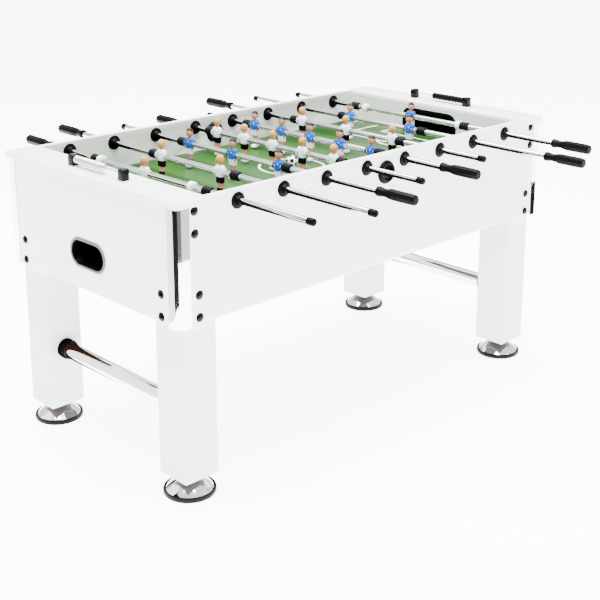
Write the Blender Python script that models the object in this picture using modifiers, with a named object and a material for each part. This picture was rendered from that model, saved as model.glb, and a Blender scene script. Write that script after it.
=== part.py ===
"""Foosball table: a cabinet on four legs with eight player rods that slide and spin.

Metres, +Z up. +X runs along the table, +Y to the far side. The origin is on the floor,
in the middle of the box that the whole table fills with its rods at rest.
"""

import math

import bmesh
import bpy
from mathutils import Matrix, Vector

# ---------------------------------------------------------------- driving dimensions
GAP = 0.0003  # between pieces that touch
TABLE_LENGTH = 1.420  # over the end panels
TABLE_WIDTH = 0.728  # over the side panels
TOP_HEIGHT = 0.774
PANEL_BOTTOM = 0.469
SIDE_THICK = 0.018
END_THICK = 0.022
CAP_THICK = 0.015
CAP_OVERHANG = 0.008
CAP_DEPTH = 0.103  # of an end top board, along X
CAP_CORNER = 0.014
PANEL_CORNER = 0.015

FIELD_TOP = 0.673
FIELD_THICK = 0.006
GROOVE_DEPTH = 0.005
WALL_X = 0.615  # goal wall, face towards the field
WALL_THICK = 0.015
GOAL_HALF_WIDTH = 0.102
GOAL_HEIGHT = 0.070
GOAL_LINER = 0.004
GOAL_LIP = 0.009

LEG_SIZE = 0.102
LEG_WALL = 0.014
LEG_TOP = 0.600
LEG_BOTTOM = 0.052
LEG_FLOOR = 0.016
FOOT_RADIUS = 0.067
FOOT_PAD = 0.010
SCREW_RADIUS = 0.005
SCREW_LENGTH = 0.052
SCREW_CLEARANCE = 0.0012

STRETCHER_HEIGHT = 0.222
STRETCHER_RADIUS = 0.0225
STRETCHER_WALL = 0.0015
SOCKET_RADIUS = 0.0275
SOCKET_LENGTH = 0.024

GUARD_WIDTH = 0.0375
GUARD_THICK = 0.0012
BOLT_RADIUS = 0.003
BOLT_HEAD = 0.0112
BOLT_HEAD_HEIGHT = 0.0055
BOLT_CLEARANCE = 0.0012
LOW_BOLTS_Z = (0.484, 0.540)
HIGH_BOLTS_Z = (0.692, 0.747)
LOW_BOLT_X = 0.648
HIGH_BOLT_X = 0.658
END_BOLT_Y = 0.2975
ANGLE_THICK = 0.003

RETURN_Z = 0.566
RETURN_HALF_LENGTH = 0.068
RETURN_HALF_HEIGHT = 0.031
RETURN_SLEEVE = 0.003
RETURN_FLANGE = 0.0055
TRAY_HALF_WIDTH = 0.128
TRAY_BOARD = 0.008
ENTRY_Z = 0.723
ENTRY_RADIUS = 0.0225
ENTRY_FLANGE = 0.032
ENTRY_LIP = 0.027

ROD_SPACING = 0.150
ROD_Z = 0.747
ROD_RADIUS = 0.00795
ROD_BORE = 0.0062
BEARING_BORE = 0.0085
BEARING_FLANGE = 0.021
BEARING_HUB = 0.0115
FLANGE_THICK = 0.003
HUB_LENGTH = 0.009
STOP_LENGTH = 0.030
STOP_RADIUS = 0.0125
STOP_SEGMENTS = 12
GRIP_LENGTH = 0.122
GRIP_RADIUS = 0.0145
GRIP_NECK = 0.0108
GRIP_FLARE = 0.0128
GRIP_SEGMENTS = 8
GRIP_OVERLAP = 0.080  # length of bar inside the grip
CAP_RADIUS = 0.0092
CAP_LENGTH = 0.022

MAN_HALF_WIDTH = 0.0170
MAN_FOOT = 0.068  # below the rod
MAN_HEAD = 0.045  # above the rod
COLLAR_HALF = 0.008
COLLAR_RADIUS = 0.0135

BALL_RADIUS = 0.0165
POST_Y = 0.108
POST_X = 0.669
POST_HEIGHT = 0.029
POST_SIZE = 0.022
WIRE_RADIUS = 0.0022
WIRE_Z = 0.017  # above the top board
BEAD_COUNT = 10
BEAD_PITCH = 0.0125
BEAD_RADIUS = 0.0105

# Each rod: team, outermost figure, number of figures, end of grip, end of bar, and the bare
# bar that is left before the rubber stop on the grip side and on the cap side.
# A goalkeeper rod carries one figure and two collars. A grip at -Y is on the near side.
RODS = (
    ("white", 0.193, 1, 0.557, -0.623, 0.0, 0.038),
    ("white", 0.1235, 2, 0.620, -0.672, 0.0, 0.030),
    ("blue", 0.187, 3, -0.661, 0.512, 0.0, 0.0),
    ("white", 0.242, 5, 0.528, -0.559, 0.0, 0.0),
    ("blue", 0.242, 5, -0.615, 0.464, 0.0, 0.0),
    ("white", 0.187, 3, 0.644, -0.522, 0.0, 0.0),
    ("blue", 0.1235, 2, -0.735, 0.576, 0.016, 0.0),
    ("blue", 0.193, 1, -0.657, 0.524, 0.0, 0.023),
)

# ---------------------------------------------------------------- fitted dimensions
HALF_L = TABLE_LENGTH / 2
HALF_W = TABLE_WIDTH / 2
INNER_Y = HALF_W - SIDE_THICK
INNER_X = HALF_L - END_THICK
CAP_BOTTOM = TOP_HEIGHT - CAP_THICK
WALL_BACK = WALL_X + WALL_THICK
FIELD_BOTTOM = FIELD_TOP - FIELD_THICK
LEG_OUT_X = INNER_X - GAP
LEG_OUT_Y = INNER_Y - GAP
LEG_X = LEG_OUT_X - LEG_SIZE / 2
LEG_Y = LEG_OUT_Y - LEG_SIZE / 2
BORE_CLEAR = ROD_RADIUS + 0.0004
TRAY_FLOOR = RETURN_Z - RETURN_HALF_HEIGHT - 0.004
WALL_TOP = CAP_BOTTOM - GAP
REACHES = [end for rod in RODS for end in rod[3:5]]
SHIFT_Y = -(max(REACHES) + min(REACHES)) / 2  # centres the whole table on the origin

CORNERS = (
    ("front_left", -1, -1),
    ("front_right", 1, -1),
    ("back_left", -1, 1),
    ("back_right", 1, 1),
)

for old in list(bpy.data.objects):
    bpy.data.objects.remove(old, do_unlink=True)

parts = bpy.data.collections.new("foosball_table")
bpy.context.scene.collection.children.link(parts)


# ---------------------------------------------------------------- materials
def material(name, colour, roughness=0.5, metallic=0.0):
    made = bpy.data.materials.new(name)
    made.use_nodes = True
    shader = made.node_tree.nodes["Principled BSDF"]
    shader.inputs["Base Color"].default_value = (*colour, 1.0)
    shader.inputs["Roughness"].default_value = roughness
    shader.inputs["Metallic"].default_value = metallic
    return made


LAMINATE = material("white_laminate", (0.80, 0.82, 0.80), 0.35)
INNER_BOARD = material("grey_laminate", (0.66, 0.69, 0.64), 0.45)
TURF = material("field_print", (0.09, 0.36, 0.06), 0.5)
CHROME = material("chromed_steel", (0.80, 0.81, 0.83), 0.12, 1.0)
STEEL = material("zinc_steel", (0.55, 0.55, 0.56), 0.35, 1.0)
BLACK = material("black_plastic", (0.012, 0.012, 0.013), 0.4)
RUBBER = material("black_rubber", (0.015, 0.015, 0.015), 0.75)
GREY_RING = material("silver_plastic", (0.42, 0.43, 0.44), 0.35, 0.4)
BALL_WHITE = material("ball_plastic", (0.85, 0.85, 0.83), 0.3)
BEAD_WHITE = material("white_beads", (0.75, 0.77, 0.80), 0.3)
BEAD_BLACK = material("black_beads", (0.02, 0.02, 0.022), 0.3)


# ---------------------------------------------------------------- building blocks
def keep(obj, name, mat, smooth=False):
    """Names a finished piece, gives it its material and files it with the table."""
    obj.name = name
    obj.data.name = name
    obj.data.materials.clear()
    obj.data.materials.append(mat)
    for face in obj.data.polygons:
        face.use_smooth = smooth
    if smooth:
        obj.data.set_sharp_from_angle(angle=math.radians(35))
    return obj


def from_bmesh(bm):
    mesh = bpy.data.meshes.new("piece")
    bm.to_mesh(mesh)
    bm.free()
    obj = bpy.data.objects.new("piece", mesh)
    parts.objects.link(obj)
    return obj


def baked(obj):
    """Replaces an object by one whose mesh has its modifiers and place applied."""
    graph = bpy.context.evaluated_depsgraph_get()
    mesh = bpy.data.meshes.new_from_object(obj.evaluated_get(graph))
    mesh.transform(obj.matrix_world)
    made = bpy.data.objects.new("piece", mesh)
    parts.objects.link(made)
    bpy.data.objects.remove(obj, do_unlink=True)
    return made


def block(x0, x1, y0, y1, z0, z1):
    bm = bmesh.new()
    size = Matrix.Diagonal((x1 - x0, y1 - y0, z1 - z0, 1.0))
    middle = Vector(((x0 + x1) / 2, (y0 + y1) / 2, (z0 + z1) / 2))
    bmesh.ops.create_cube(bm, size=1.0, matrix=Matrix.Translation(middle) @ size)
    return from_bmesh(bm)


def taper(low, high, z0, z1):
    """A block whose half sizes (x0, x1, half y) change from low at z0 to high at z1."""
    bm = bmesh.new()
    bmesh.ops.create_cube(bm, size=2.0)
    for vert in bm.verts:
        sizes = high if vert.co.z > 0 else low
        height = z1 if vert.co.z > 0 else z0
        side = sizes[1] if vert.co.x > 0 else sizes[0]
        vert.co = Vector((side, math.copysign(sizes[2], vert.co.y), height))
    return from_bmesh(bm)


TO_AXIS = {
    "X": Matrix.Rotation(math.pi / 2, 4, "Y"),
    "Y": Matrix.Rotation(-math.pi / 2, 4, "X"),
    "Z": Matrix.Identity(4),
}


def rod_between(axis, centre, start, end, radius, segments=16):
    """A round bar along an axis, from start to end on that axis."""
    bm = bmesh.new()
    place = Vector(centre)
    place["XYZ".index(axis)] = (start + end) / 2
    bmesh.ops.create_cone(
        bm,
        cap_ends=True,
        segments=segments,
        radius1=radius,
        radius2=radius,
        depth=abs(end - start),
        matrix=Matrix.Translation(place) @ TO_AXIS[axis],
    )
    return from_bmesh(bm)


def turned(profile, axis, centre, segments=16, flip=False):
    """Turns (radius, height) points, listed from the top down, about an axis."""
    mesh = bpy.data.meshes.new("profile")
    points = [(radius, 0.0, height) for radius, height in profile]
    closed = profile[0][0] > 0
    count = len(points)
    edges = [(i, i + 1) for i in range(count - 1)]
    if closed:
        edges.append((count - 1, 0))
    mesh.from_pydata(points, edges, [])
    obj = bpy.data.objects.new("profile", mesh)
    parts.objects.link(obj)
    screw = obj.modifiers.new("turn", "SCREW")
    screw.axis = "Z"
    screw.steps = segments
    screw.render_steps = segments
    screw.use_merge_vertices = True
    screw.merge_threshold = 0.00001
    turn = Matrix.Rotation(math.pi, 4, "X") if flip else Matrix.Identity(4)
    obj.matrix_world = Matrix.Translation(Vector(centre)) @ TO_AXIS[axis] @ turn
    bpy.context.view_layer.update()
    made = baked(obj)
    bm = bmesh.new()
    bm.from_mesh(made.data)
    bmesh.ops.recalc_face_normals(bm, faces=bm.faces)
    bm.to_mesh(made.data)
    bm.free()
    return made


def plate(outline, axis, start, end):
    """A flat outline (list of two-coordinate points) made thick along an axis."""
    curve = bpy.data.curves.new("outline", "CURVE")
    curve.dimensions = "2D"
    curve.fill_mode = "BOTH"
    curve.extrude = abs(end - start) / 2
    spline = curve.splines.new("POLY")
    spline.points.add(len(outline) - 1)
    for point, (u, v) in zip(spline.points, outline):
        point.co = (u, v, 0.0, 1.0)
    spline.use_cyclic_u = True
    obj = bpy.data.objects.new("outline", curve)
    parts.objects.link(obj)
    middle = (start + end) / 2
    if axis == "Z":
        obj.matrix_world = Matrix.Translation((0, 0, middle))
    elif axis == "Y":
        obj.matrix_world = Matrix.Translation((0, middle, 0)) @ Matrix.Rotation(
            math.pi / 2, 4, "X"
        )
    else:
        stand = Matrix(((0, 0, 1, 0), (1, 0, 0, 0), (0, 1, 0, 0), (0, 0, 0, 1)))
        obj.matrix_world = Matrix.Translation((middle, 0, 0)) @ stand
    bpy.context.view_layer.update()
    made = baked(obj)
    bm = bmesh.new()
    bm.from_mesh(made.data)
    bmesh.ops.remove_doubles(bm, verts=bm.verts, dist=0.00001)
    bmesh.ops.dissolve_limit(
        bm, angle_limit=0.001, verts=bm.verts, edges=bm.edges
    )
    bmesh.ops.recalc_face_normals(bm, faces=bm.faces)
    bm.to_mesh(made.data)
    bm.free()
    return made


def group(objects):
    """Puts pieces that do not meet each other in one object."""
    bm = bmesh.new()
    for obj in objects:
        bm.from_mesh(obj.data)
        bpy.data.objects.remove(obj, do_unlink=True)
    return from_bmesh(bm)


def combine(base, other, operation):
    change = base.modifiers.new(operation.lower(), "BOOLEAN")
    change.operation = operation
    change.solver = "EXACT"
    change.object = other
    bpy.context.view_layer.update()
    made = baked(base)
    bpy.data.objects.remove(other, do_unlink=True)
    return made


def join(base, *others):
    for other in others:
        base = combine(base, other, "UNION")
    return base


def cut(base, *others):
    for other in others:
        base = combine(base, other, "DIFFERENCE")
    return base


def tidy(obj):
    """Welds the seams that a cut leaves."""
    bm = bmesh.new()
    bm.from_mesh(obj.data)
    bmesh.ops.remove_doubles(bm, verts=bm.verts, dist=0.000002)
    bmesh.ops.dissolve_degenerate(bm, edges=bm.edges, dist=0.000002)
    bm.to_mesh(obj.data)
    bm.free()
    return obj


def arc(cu, cv, radius, start, end, count):
    """Points on a circle between two angles in degrees."""
    out = []
    for i in range(count + 1):
        angle = math.radians(start + (end - start) * i / count)
        out.append((cu + radius * math.cos(angle), cv + radius * math.sin(angle)))
    return out


def stadium(cu, cv, half_length, half_height, count=8):
    """A slot outline with round ends."""
    straight = half_length - half_height
    right = arc(cu + straight, cv, half_height, -90, 90, count)
    left = arc(cu - straight, cv, half_height, 90, 270, count)
    return right + left


def copy_of(obj, matrix):
    mesh = obj.data.copy()
    mesh.transform(matrix)
    if matrix.determinant() < 0:
        mesh.flip_normals()
    made = bpy.data.objects.new("piece", mesh)
    parts.objects.link(made)
    return made


# ---------------------------------------------------------------- rod stations
def bore_for_bar(segments):
    """Corner radius of a bore whose flats clear the bar."""
    return BORE_CLEAR / math.cos(math.pi / segments)


def rod_x(index):
    return (index - (len(RODS) - 1) / 2) * ROD_SPACING


ROD_XS = [rod_x(index) for index in range(len(RODS))]


# ---------------------------------------------------------------- side panels
def side_panel(name, side):
    """One long panel: notched for the end top boards, bored for rods and bolts."""
    out = HALF_W
    near = [(-HALF_L, -INNER_Y), (-HALF_L, -out + PANEL_CORNER)]
    bend = PANEL_CORNER
    near += arc(-HALF_L + bend, -out + bend, bend, 180, 270, 4)[1:]
    near += arc(HALF_L - bend, -out + bend, bend, 270, 360, 4)
    near += [(HALF_L, -INNER_Y)]
    panel = plate(near, "Z", PANEL_BOTTOM, TOP_HEIGHT)
    if side > 0:
        panel = mirrored(panel)
    y0, y1 = sorted((side * INNER_Y, side * out))
    fittings = []
    reach = SIDE_THICK / 2 + HUB_LENGTH
    flange = SIDE_THICK / 2 + FLANGE_THICK
    for x in ROD_XS:
        outline = [
            (0.0, reach),
            (BEARING_HUB, reach),
            (BEARING_FLANGE, flange),
            (BEARING_FLANGE, -flange),
            (BEARING_HUB, -reach),
            (0.0, -reach),
        ]
        fittings.append(turned(outline, "Y", (x, (y0 + y1) / 2, ROD_Z), 16))
    cup = [
        (0.0, reach),
        (ENTRY_LIP, reach),
        (ENTRY_FLANGE, flange),
        (ENTRY_FLANGE, -flange),
        (ENTRY_LIP, -reach),
        (0.0, -reach),
    ]
    fittings.append(turned(cup, "Y", (0, (y0 + y1) / 2, ENTRY_Z), 20))
    panel = join(panel, group(fittings))
    far = 0.03
    holes = [
        rod_between("Y", (x, 0, ROD_Z), y0 - far, y1 + far, BEARING_BORE, 12)
        for x in ROD_XS
    ]
    holes.append(rod_between("Y", (0, 0, ENTRY_Z), y0 - far, y1 + far, ENTRY_RADIUS, 20))
    bolt_hole = BOLT_RADIUS + BOLT_CLEARANCE
    for sx in (-1, 1):
        for z in LOW_BOLTS_Z:
            at = (sx * LOW_BOLT_X, 0, z)
            holes.append(rod_between("Y", at, y0 - far, y1 + far, bolt_hole, 6))
        for z in HIGH_BOLTS_Z:
            at = (sx * HIGH_BOLT_X, 0, z)
            holes.append(rod_between("Y", at, y0 - far, y1 + far, bolt_hole, 6))
        inner = HALF_L + CAP_OVERHANG - CAP_DEPTH - GAP
        x0, x1 = sorted((sx * inner, sx * (HALF_L + 0.02)))
        holes.append(block(x0, x1, y0 - 0.02, y1 + 0.02, CAP_BOTTOM - GAP, TOP_HEIGHT + 0.02))
    groove_face = side * (INNER_Y + GROOVE_DEPTH + GAP)
    g0, g1 = sorted((groove_face, side * (INNER_Y - 0.01)))
    holes.append(block(-WALL_X, WALL_X, g0, g1, FIELD_BOTTOM - GAP, FIELD_TOP + GAP))
    panel = cut(panel, group(holes))
    keep(tidy(panel), name, LAMINATE, smooth=True)


def mirrored(obj):
    made = copy_of(obj, Matrix.Diagonal((1, -1, 1, 1)))
    bpy.data.objects.remove(obj, do_unlink=True)
    return made


side_panel("side_panel_front", -1)
side_panel("side_panel_back", 1)


# ---------------------------------------------------------------- end panels and ball return
def sided(side, near, far):
    """An X range that lies on the left (-1) or right (1) end."""
    return sorted((side * near, side * far))


for end, side in (("left", -1), ("right", 1)):
    x0, x1 = sided(side, INNER_X, HALF_L)
    panel = block(
        x0, x1, -INNER_Y + GAP, INNER_Y - GAP, PANEL_BOTTOM, CAP_BOTTOM - GAP
    )
    sleeve_u = RETURN_HALF_LENGTH + RETURN_SLEEVE
    sleeve_v = RETURN_HALF_HEIGHT + RETURN_SLEEVE
    slot = stadium(0, RETURN_Z, sleeve_u + GAP * 2, sleeve_v + GAP * 2)
    holes = [plate(slot, "X", x0 - 0.02, x1 + 0.02)]
    for y in (-END_BOLT_Y, END_BOLT_Y):
        for z in LOW_BOLTS_Z:
            holes.append(
                rod_between(
                    "X", (0, y, z), x0 - 0.02, x1 + 0.02, BOLT_RADIUS + BOLT_CLEARANCE, 6
                )
            )
    keep(tidy(cut(panel, group(holes))), f"end_panel_{end}", LAMINATE)

    face = HALF_L + GAP
    flange = plate(
        stadium(0, RETURN_Z, sleeve_u + RETURN_FLANGE, sleeve_v + RETURN_FLANGE),
        "X",
        *sided(side, face, face + 0.003),
    )
    sleeve = plate(
        stadium(0, RETURN_Z, sleeve_u, sleeve_v), "X", *sided(side, INNER_X, face + 0.002)
    )
    mouth = plate(
        stadium(0, RETURN_Z, RETURN_HALF_LENGTH, RETURN_HALF_HEIGHT),
        "X",
        *sided(side, INNER_X - 0.01, face + 0.01),
    )
    ring = cut(join(flange, sleeve), mouth)
    keep(tidy(ring), f"return_ring_{end}", GREY_RING)

    # Goal wall with the tray that carries the ball to the opening in the end panel.
    drop = TRAY_FLOOR - TRAY_BOARD
    side_y = INNER_Y - GAP
    low = LEG_TOP + 0.002
    x0, x1 = sided(side, WALL_X, WALL_BACK)
    wall = block(x0, x1, -side_y, side_y, drop, WALL_TOP)
    corners = [
        block(x0 - 0.01, x1 + 0.01, y0, y1, drop - 0.01, low)
        for y0, y1 in (
            (-side_y - 0.01, -TRAY_HALF_WIDTH),
            (TRAY_HALF_WIDTH, side_y + 0.01),
        )
    ]
    wall = cut(wall, group(corners))
    lap = WALL_BACK - 0.005
    x0, x1 = sided(side, lap, INNER_X - GAP)
    cheek = TRAY_HALF_WIDTH - 0.001
    tray = block(x0, x1, -cheek, cheek, drop + 0.001, WALL_TOP - 0.05)
    x0, x1 = sided(side, lap - 0.01, INNER_X + 0.01)
    inside = block(
        x0,
        x1,
        -TRAY_HALF_WIDTH + TRAY_BOARD,
        TRAY_HALF_WIDTH - TRAY_BOARD,
        TRAY_FLOOR,
        WALL_TOP,
    )
    tray = cut(tray, inside)
    half = GOAL_HALF_WIDTH + GOAL_LINER + GAP
    top = FIELD_TOP + GOAL_HEIGHT + GOAL_LINER + GAP
    base = FIELD_TOP - GOAL_LINER - GAP
    bend = 0.026
    hole = [(-half, base), (half, base)]
    hole += arc(half - bend, top - bend, bend, 0, 90, 5)
    hole += arc(-half + bend, top - bend, bend, 90, 180, 5)
    wall = cut(wall, plate(hole, "X", *sided(side, WALL_X - 0.02, WALL_BACK + 0.02)))
    keep(tidy(join(wall, tray)), f"goal_wall_{end}", INNER_BOARD)

    # Black liner of the goal mouth, with a lip on the field side above the turf.
    half -= GAP
    top -= GAP
    base += GAP
    bend -= GAP

    def mouth_outline(grow, bottom):
        corner = bend + grow
        out = [(-half - grow, bottom), (half + grow, bottom)]
        out += arc(half - bend, top - bend, corner, 0, 90, 5)
        out += arc(-half + bend, top - bend, corner, 90, 180, 5)
        return out

    liner = plate(mouth_outline(0.0, base), "X", *sided(side, WALL_X - 0.002, WALL_BACK))
    lip = plate(
        mouth_outline(GOAL_LIP - 0.004, FIELD_TOP + GAP),
        "X",
        *sided(side, WALL_X - 0.003, WALL_X - GAP),
    )
    hollow = plate(
        mouth_outline(-GOAL_LINER, FIELD_TOP),
        "X",
        *sided(side, WALL_X - 0.02, WALL_BACK + 0.02),
    )
    toe = block(
        *sided(side, WALL_X - 0.01, WALL_X + 0.0006),
        -half - 0.02,
        half + 0.02,
        base - 0.01,
        FIELD_TOP + GAP,
    )
    keep(tidy(cut(join(liner, lip), toe, hollow)), f"goal_frame_{end}", BLACK)

    # End top board, flush with the side panels, with round outer corners.
    inner = HALF_L + CAP_OVERHANG - CAP_DEPTH
    outer = HALF_L + CAP_OVERHANG
    wide = HALF_W + CAP_OVERHANG
    shape = [(inner, -wide)]
    shape += arc(outer - CAP_CORNER, -wide + CAP_CORNER, CAP_CORNER, 270, 360, 5)
    shape += arc(outer - CAP_CORNER, wide - CAP_CORNER, CAP_CORNER, 0, 90, 5)
    shape += [(inner, wide)]
    shape = [(side * u, v) for u, v in shape]
    keep(plate(shape, "Z", CAP_BOTTOM, TOP_HEIGHT), f"end_top_{end}", LAMINATE)

# ---------------------------------------------------------------- playing field
field = block(
    -WALL_X + GAP,
    WALL_X - GAP,
    -INNER_Y - GROOVE_DEPTH,
    INNER_Y + GROOVE_DEPTH,
    FIELD_BOTTOM,
    FIELD_TOP,
)
keep(field, "playfield", TURF)

# ---------------------------------------------------------------- legs, feet, corner parts
for corner, sx, sy in CORNERS:
    cx = sx * LEG_X
    cy = sy * LEG_Y
    half = LEG_SIZE / 2
    leg = block(cx - half, cx + half, cy - half, cy + half, LEG_BOTTOM, LEG_TOP)
    room = half - LEG_WALL
    floor = LEG_BOTTOM + LEG_FLOOR
    well = block(cx - room, cx + room, cy - room, cy + room, floor, LEG_TOP + 0.02)
    screw_hole = rod_between(
        "Z",
        (cx, cy, 0),
        LEG_BOTTOM - 0.01,
        floor + 0.01,
        SCREW_RADIUS + SCREW_CLEARANCE,
        12,
    )
    hole = BOLT_RADIUS + BOLT_CLEARANCE
    holes = []
    for z in LOW_BOLTS_Z:
        y0, y1 = sorted((sy * (LEG_OUT_Y - LEG_WALL - 0.01), sy * (LEG_OUT_Y + 0.01)))
        holes.append(rod_between("Y", (sx * LOW_BOLT_X, 0, z), y0, y1, hole, 6))
        x0, x1 = sorted((sx * (LEG_OUT_X - LEG_WALL - 0.01), sx * (LEG_OUT_X + 0.01)))
        holes.append(rod_between("X", (0, sy * END_BOLT_Y, z), x0, x1, hole, 6))
    leg = cut(leg, well, screw_hole, group(holes))
    keep(tidy(leg), f"leg_{corner}", LAMINATE)

    top = LEG_BOTTOM - GAP
    foot = turned(
        [
            (0.0, top + SCREW_LENGTH),
            (SCREW_RADIUS, top + SCREW_LENGTH),
            (SCREW_RADIUS, top),
            (0.013, top),
            (0.013, top - 0.006),
            (0.026, top - 0.011),
            (0.046, top - 0.022),
            (0.058, FOOT_PAD + 0.004),
            (FOOT_RADIUS - 0.003, FOOT_PAD),
            (FOOT_RADIUS, FOOT_PAD - 0.003),
            (FOOT_RADIUS, 0.002),
            (FOOT_RADIUS - 0.002, 0.0),
            (0.0, 0.0),
        ],
        "Z",
        (cx, cy, 0),
        16,
    )
    keep(foot, f"foot_{corner}", CHROME, smooth=True)

    # Chromed corner guard, bent round the corner of the two panels.
    skin = GAP + GUARD_THICK
    inner = PANEL_CORNER + GAP
    outer = PANEL_CORNER + skin
    bend_x = HALF_L - PANEL_CORNER
    bend_y = HALF_W - PANEL_CORNER
    end_x = HALF_L + skin - GUARD_WIDTH
    end_y = HALF_W + skin - GUARD_WIDTH
    shape = [(end_x, HALF_W + GAP)]
    shape += [(end_x, HALF_W + skin)]
    shape += arc(bend_x, bend_y, outer, 90, 0, 6)
    shape += [(HALF_L + skin, end_y), (HALF_L + GAP, end_y)]
    shape += arc(bend_x, bend_y, inner, 0, 90, 6)
    shape = [(sx * u, sy * v) for u, v in shape]
    guard = plate(shape, "Z", PANEL_BOTTOM - 0.004, CAP_BOTTOM - GAP)
    keep(guard, f"corner_guard_{corner}", CHROME, smooth=True)

    # Steel angle inside the corner, with the bolts that clamp panels and leg to it.
    wall_x = LEG_OUT_X - LEG_WALL - GAP
    wall_y = LEG_OUT_Y - LEG_WALL - GAP
    near_x = WALL_BACK + 0.004
    near_y = END_BOLT_Y - 0.018
    shape = [
        (near_x, wall_y),
        (wall_x, wall_y),
        (wall_x, near_y),
        (wall_x - ANGLE_THICK, near_y),
        (wall_x - ANGLE_THICK, wall_y - ANGLE_THICK),
        (near_x, wall_y - ANGLE_THICK),
    ]
    shape = [(sx * u, sy * v) for u, v in shape]
    angle = plate(shape, "Z", PANEL_BOTTOM + 0.002, CAP_BOTTOM - 0.004)
    bolts = []
    dome = [
        (0.0, BOLT_HEAD_HEIGHT),
        (BOLT_HEAD * 0.62, BOLT_HEAD_HEIGHT * 0.8),
        (BOLT_HEAD, 0.0),
        (BOLT_RADIUS, 0.0),
    ]
    for z, x in [(z, LOW_BOLT_X) for z in LOW_BOLTS_Z] + [(z, HIGH_BOLT_X) for z in HIGH_BOLTS_Z]:
        end = -(HALF_W + GAP - wall_y + ANGLE_THICK / 2)
        profile = dome + [(BOLT_RADIUS, end), (0.0, end)]
        at = (sx * x, sy * (HALF_W + GAP), z)
        bolts.append(turned(profile, "Y", at, 8, flip=sy < 0))
    for z in LOW_BOLTS_Z:
        end = -(HALF_L + GAP - wall_x + ANGLE_THICK / 2)
        profile = dome + [(BOLT_RADIUS, end), (0.0, end)]
        at = (sx * (HALF_L + GAP), sy * END_BOLT_Y, z)
        bolts.append(turned(profile, "X", at, 8, flip=sx < 0))
    keep(tidy(join(angle, group(bolts))), f"corner_fixing_{corner}", STEEL)

# ---------------------------------------------------------------- stretcher tubes
for end, side in (("left", -1), ("right", 1)):
    reach = LEG_Y - LEG_SIZE / 2 - GAP
    bore = STRETCHER_RADIUS - STRETCHER_WALL
    inside = reach - SOCKET_LENGTH
    tube = turned(
        [
            (bore, reach),
            (SOCKET_RADIUS, reach),
            (SOCKET_RADIUS, inside),
            (STRETCHER_RADIUS, inside),
            (STRETCHER_RADIUS, -inside),
            (SOCKET_RADIUS, -inside),
            (SOCKET_RADIUS, -reach),
            (bore, -reach),
        ],
        "Y",
        (side * LEG_X, 0, STRETCHER_HEIGHT),
        16,
    )
    keep(tube, f"stretcher_{end}", CHROME, smooth=True)


# ---------------------------------------------------------------- players
def player():
    """One figure round a rod at the origin, looking along +X."""
    sole = -MAN_FOOT
    feet = taper(
        (-0.008, 0.012, 0.0095), (-0.008, 0.010, 0.0095), sole, sole + 0.011
    )
    legs = taper(
        (-0.0070, 0.0058, 0.0085), (-0.0085, 0.0085, 0.0120), sole + 0.010, -0.018
    )
    torso = taper(
        (-0.0100, 0.0100, 0.0125), (-0.0100, 0.0100, MAN_HALF_WIDTH), -0.019, 0.017
    )
    head = rod_between("Z", (0, 0, 0), 0.016, MAN_HEAD, 0.0100, 8)
    return join(torso, legs, feet, head)


FIGURE = player()


def figure_ys(count, outermost):
    if count == 1:
        return [0.0]
    return [outermost - 2 * outermost * i / (count - 1) for i in range(count)]


def stop_profile(half):
    """Ribbed rubber stop, as points down its outside and back up its bore."""
    low = STOP_RADIUS - 0.003
    bore = bore_for_bar(STOP_SEGMENTS)
    step = half / 3
    return [
        (bore, half),
        (STOP_RADIUS, half),
        (STOP_RADIUS, step * 1.4),
        (low, step),
        (low, -step),
        (STOP_RADIUS, -step * 1.4),
        (STOP_RADIUS, -half),
        (bore, -half),
    ]


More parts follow.
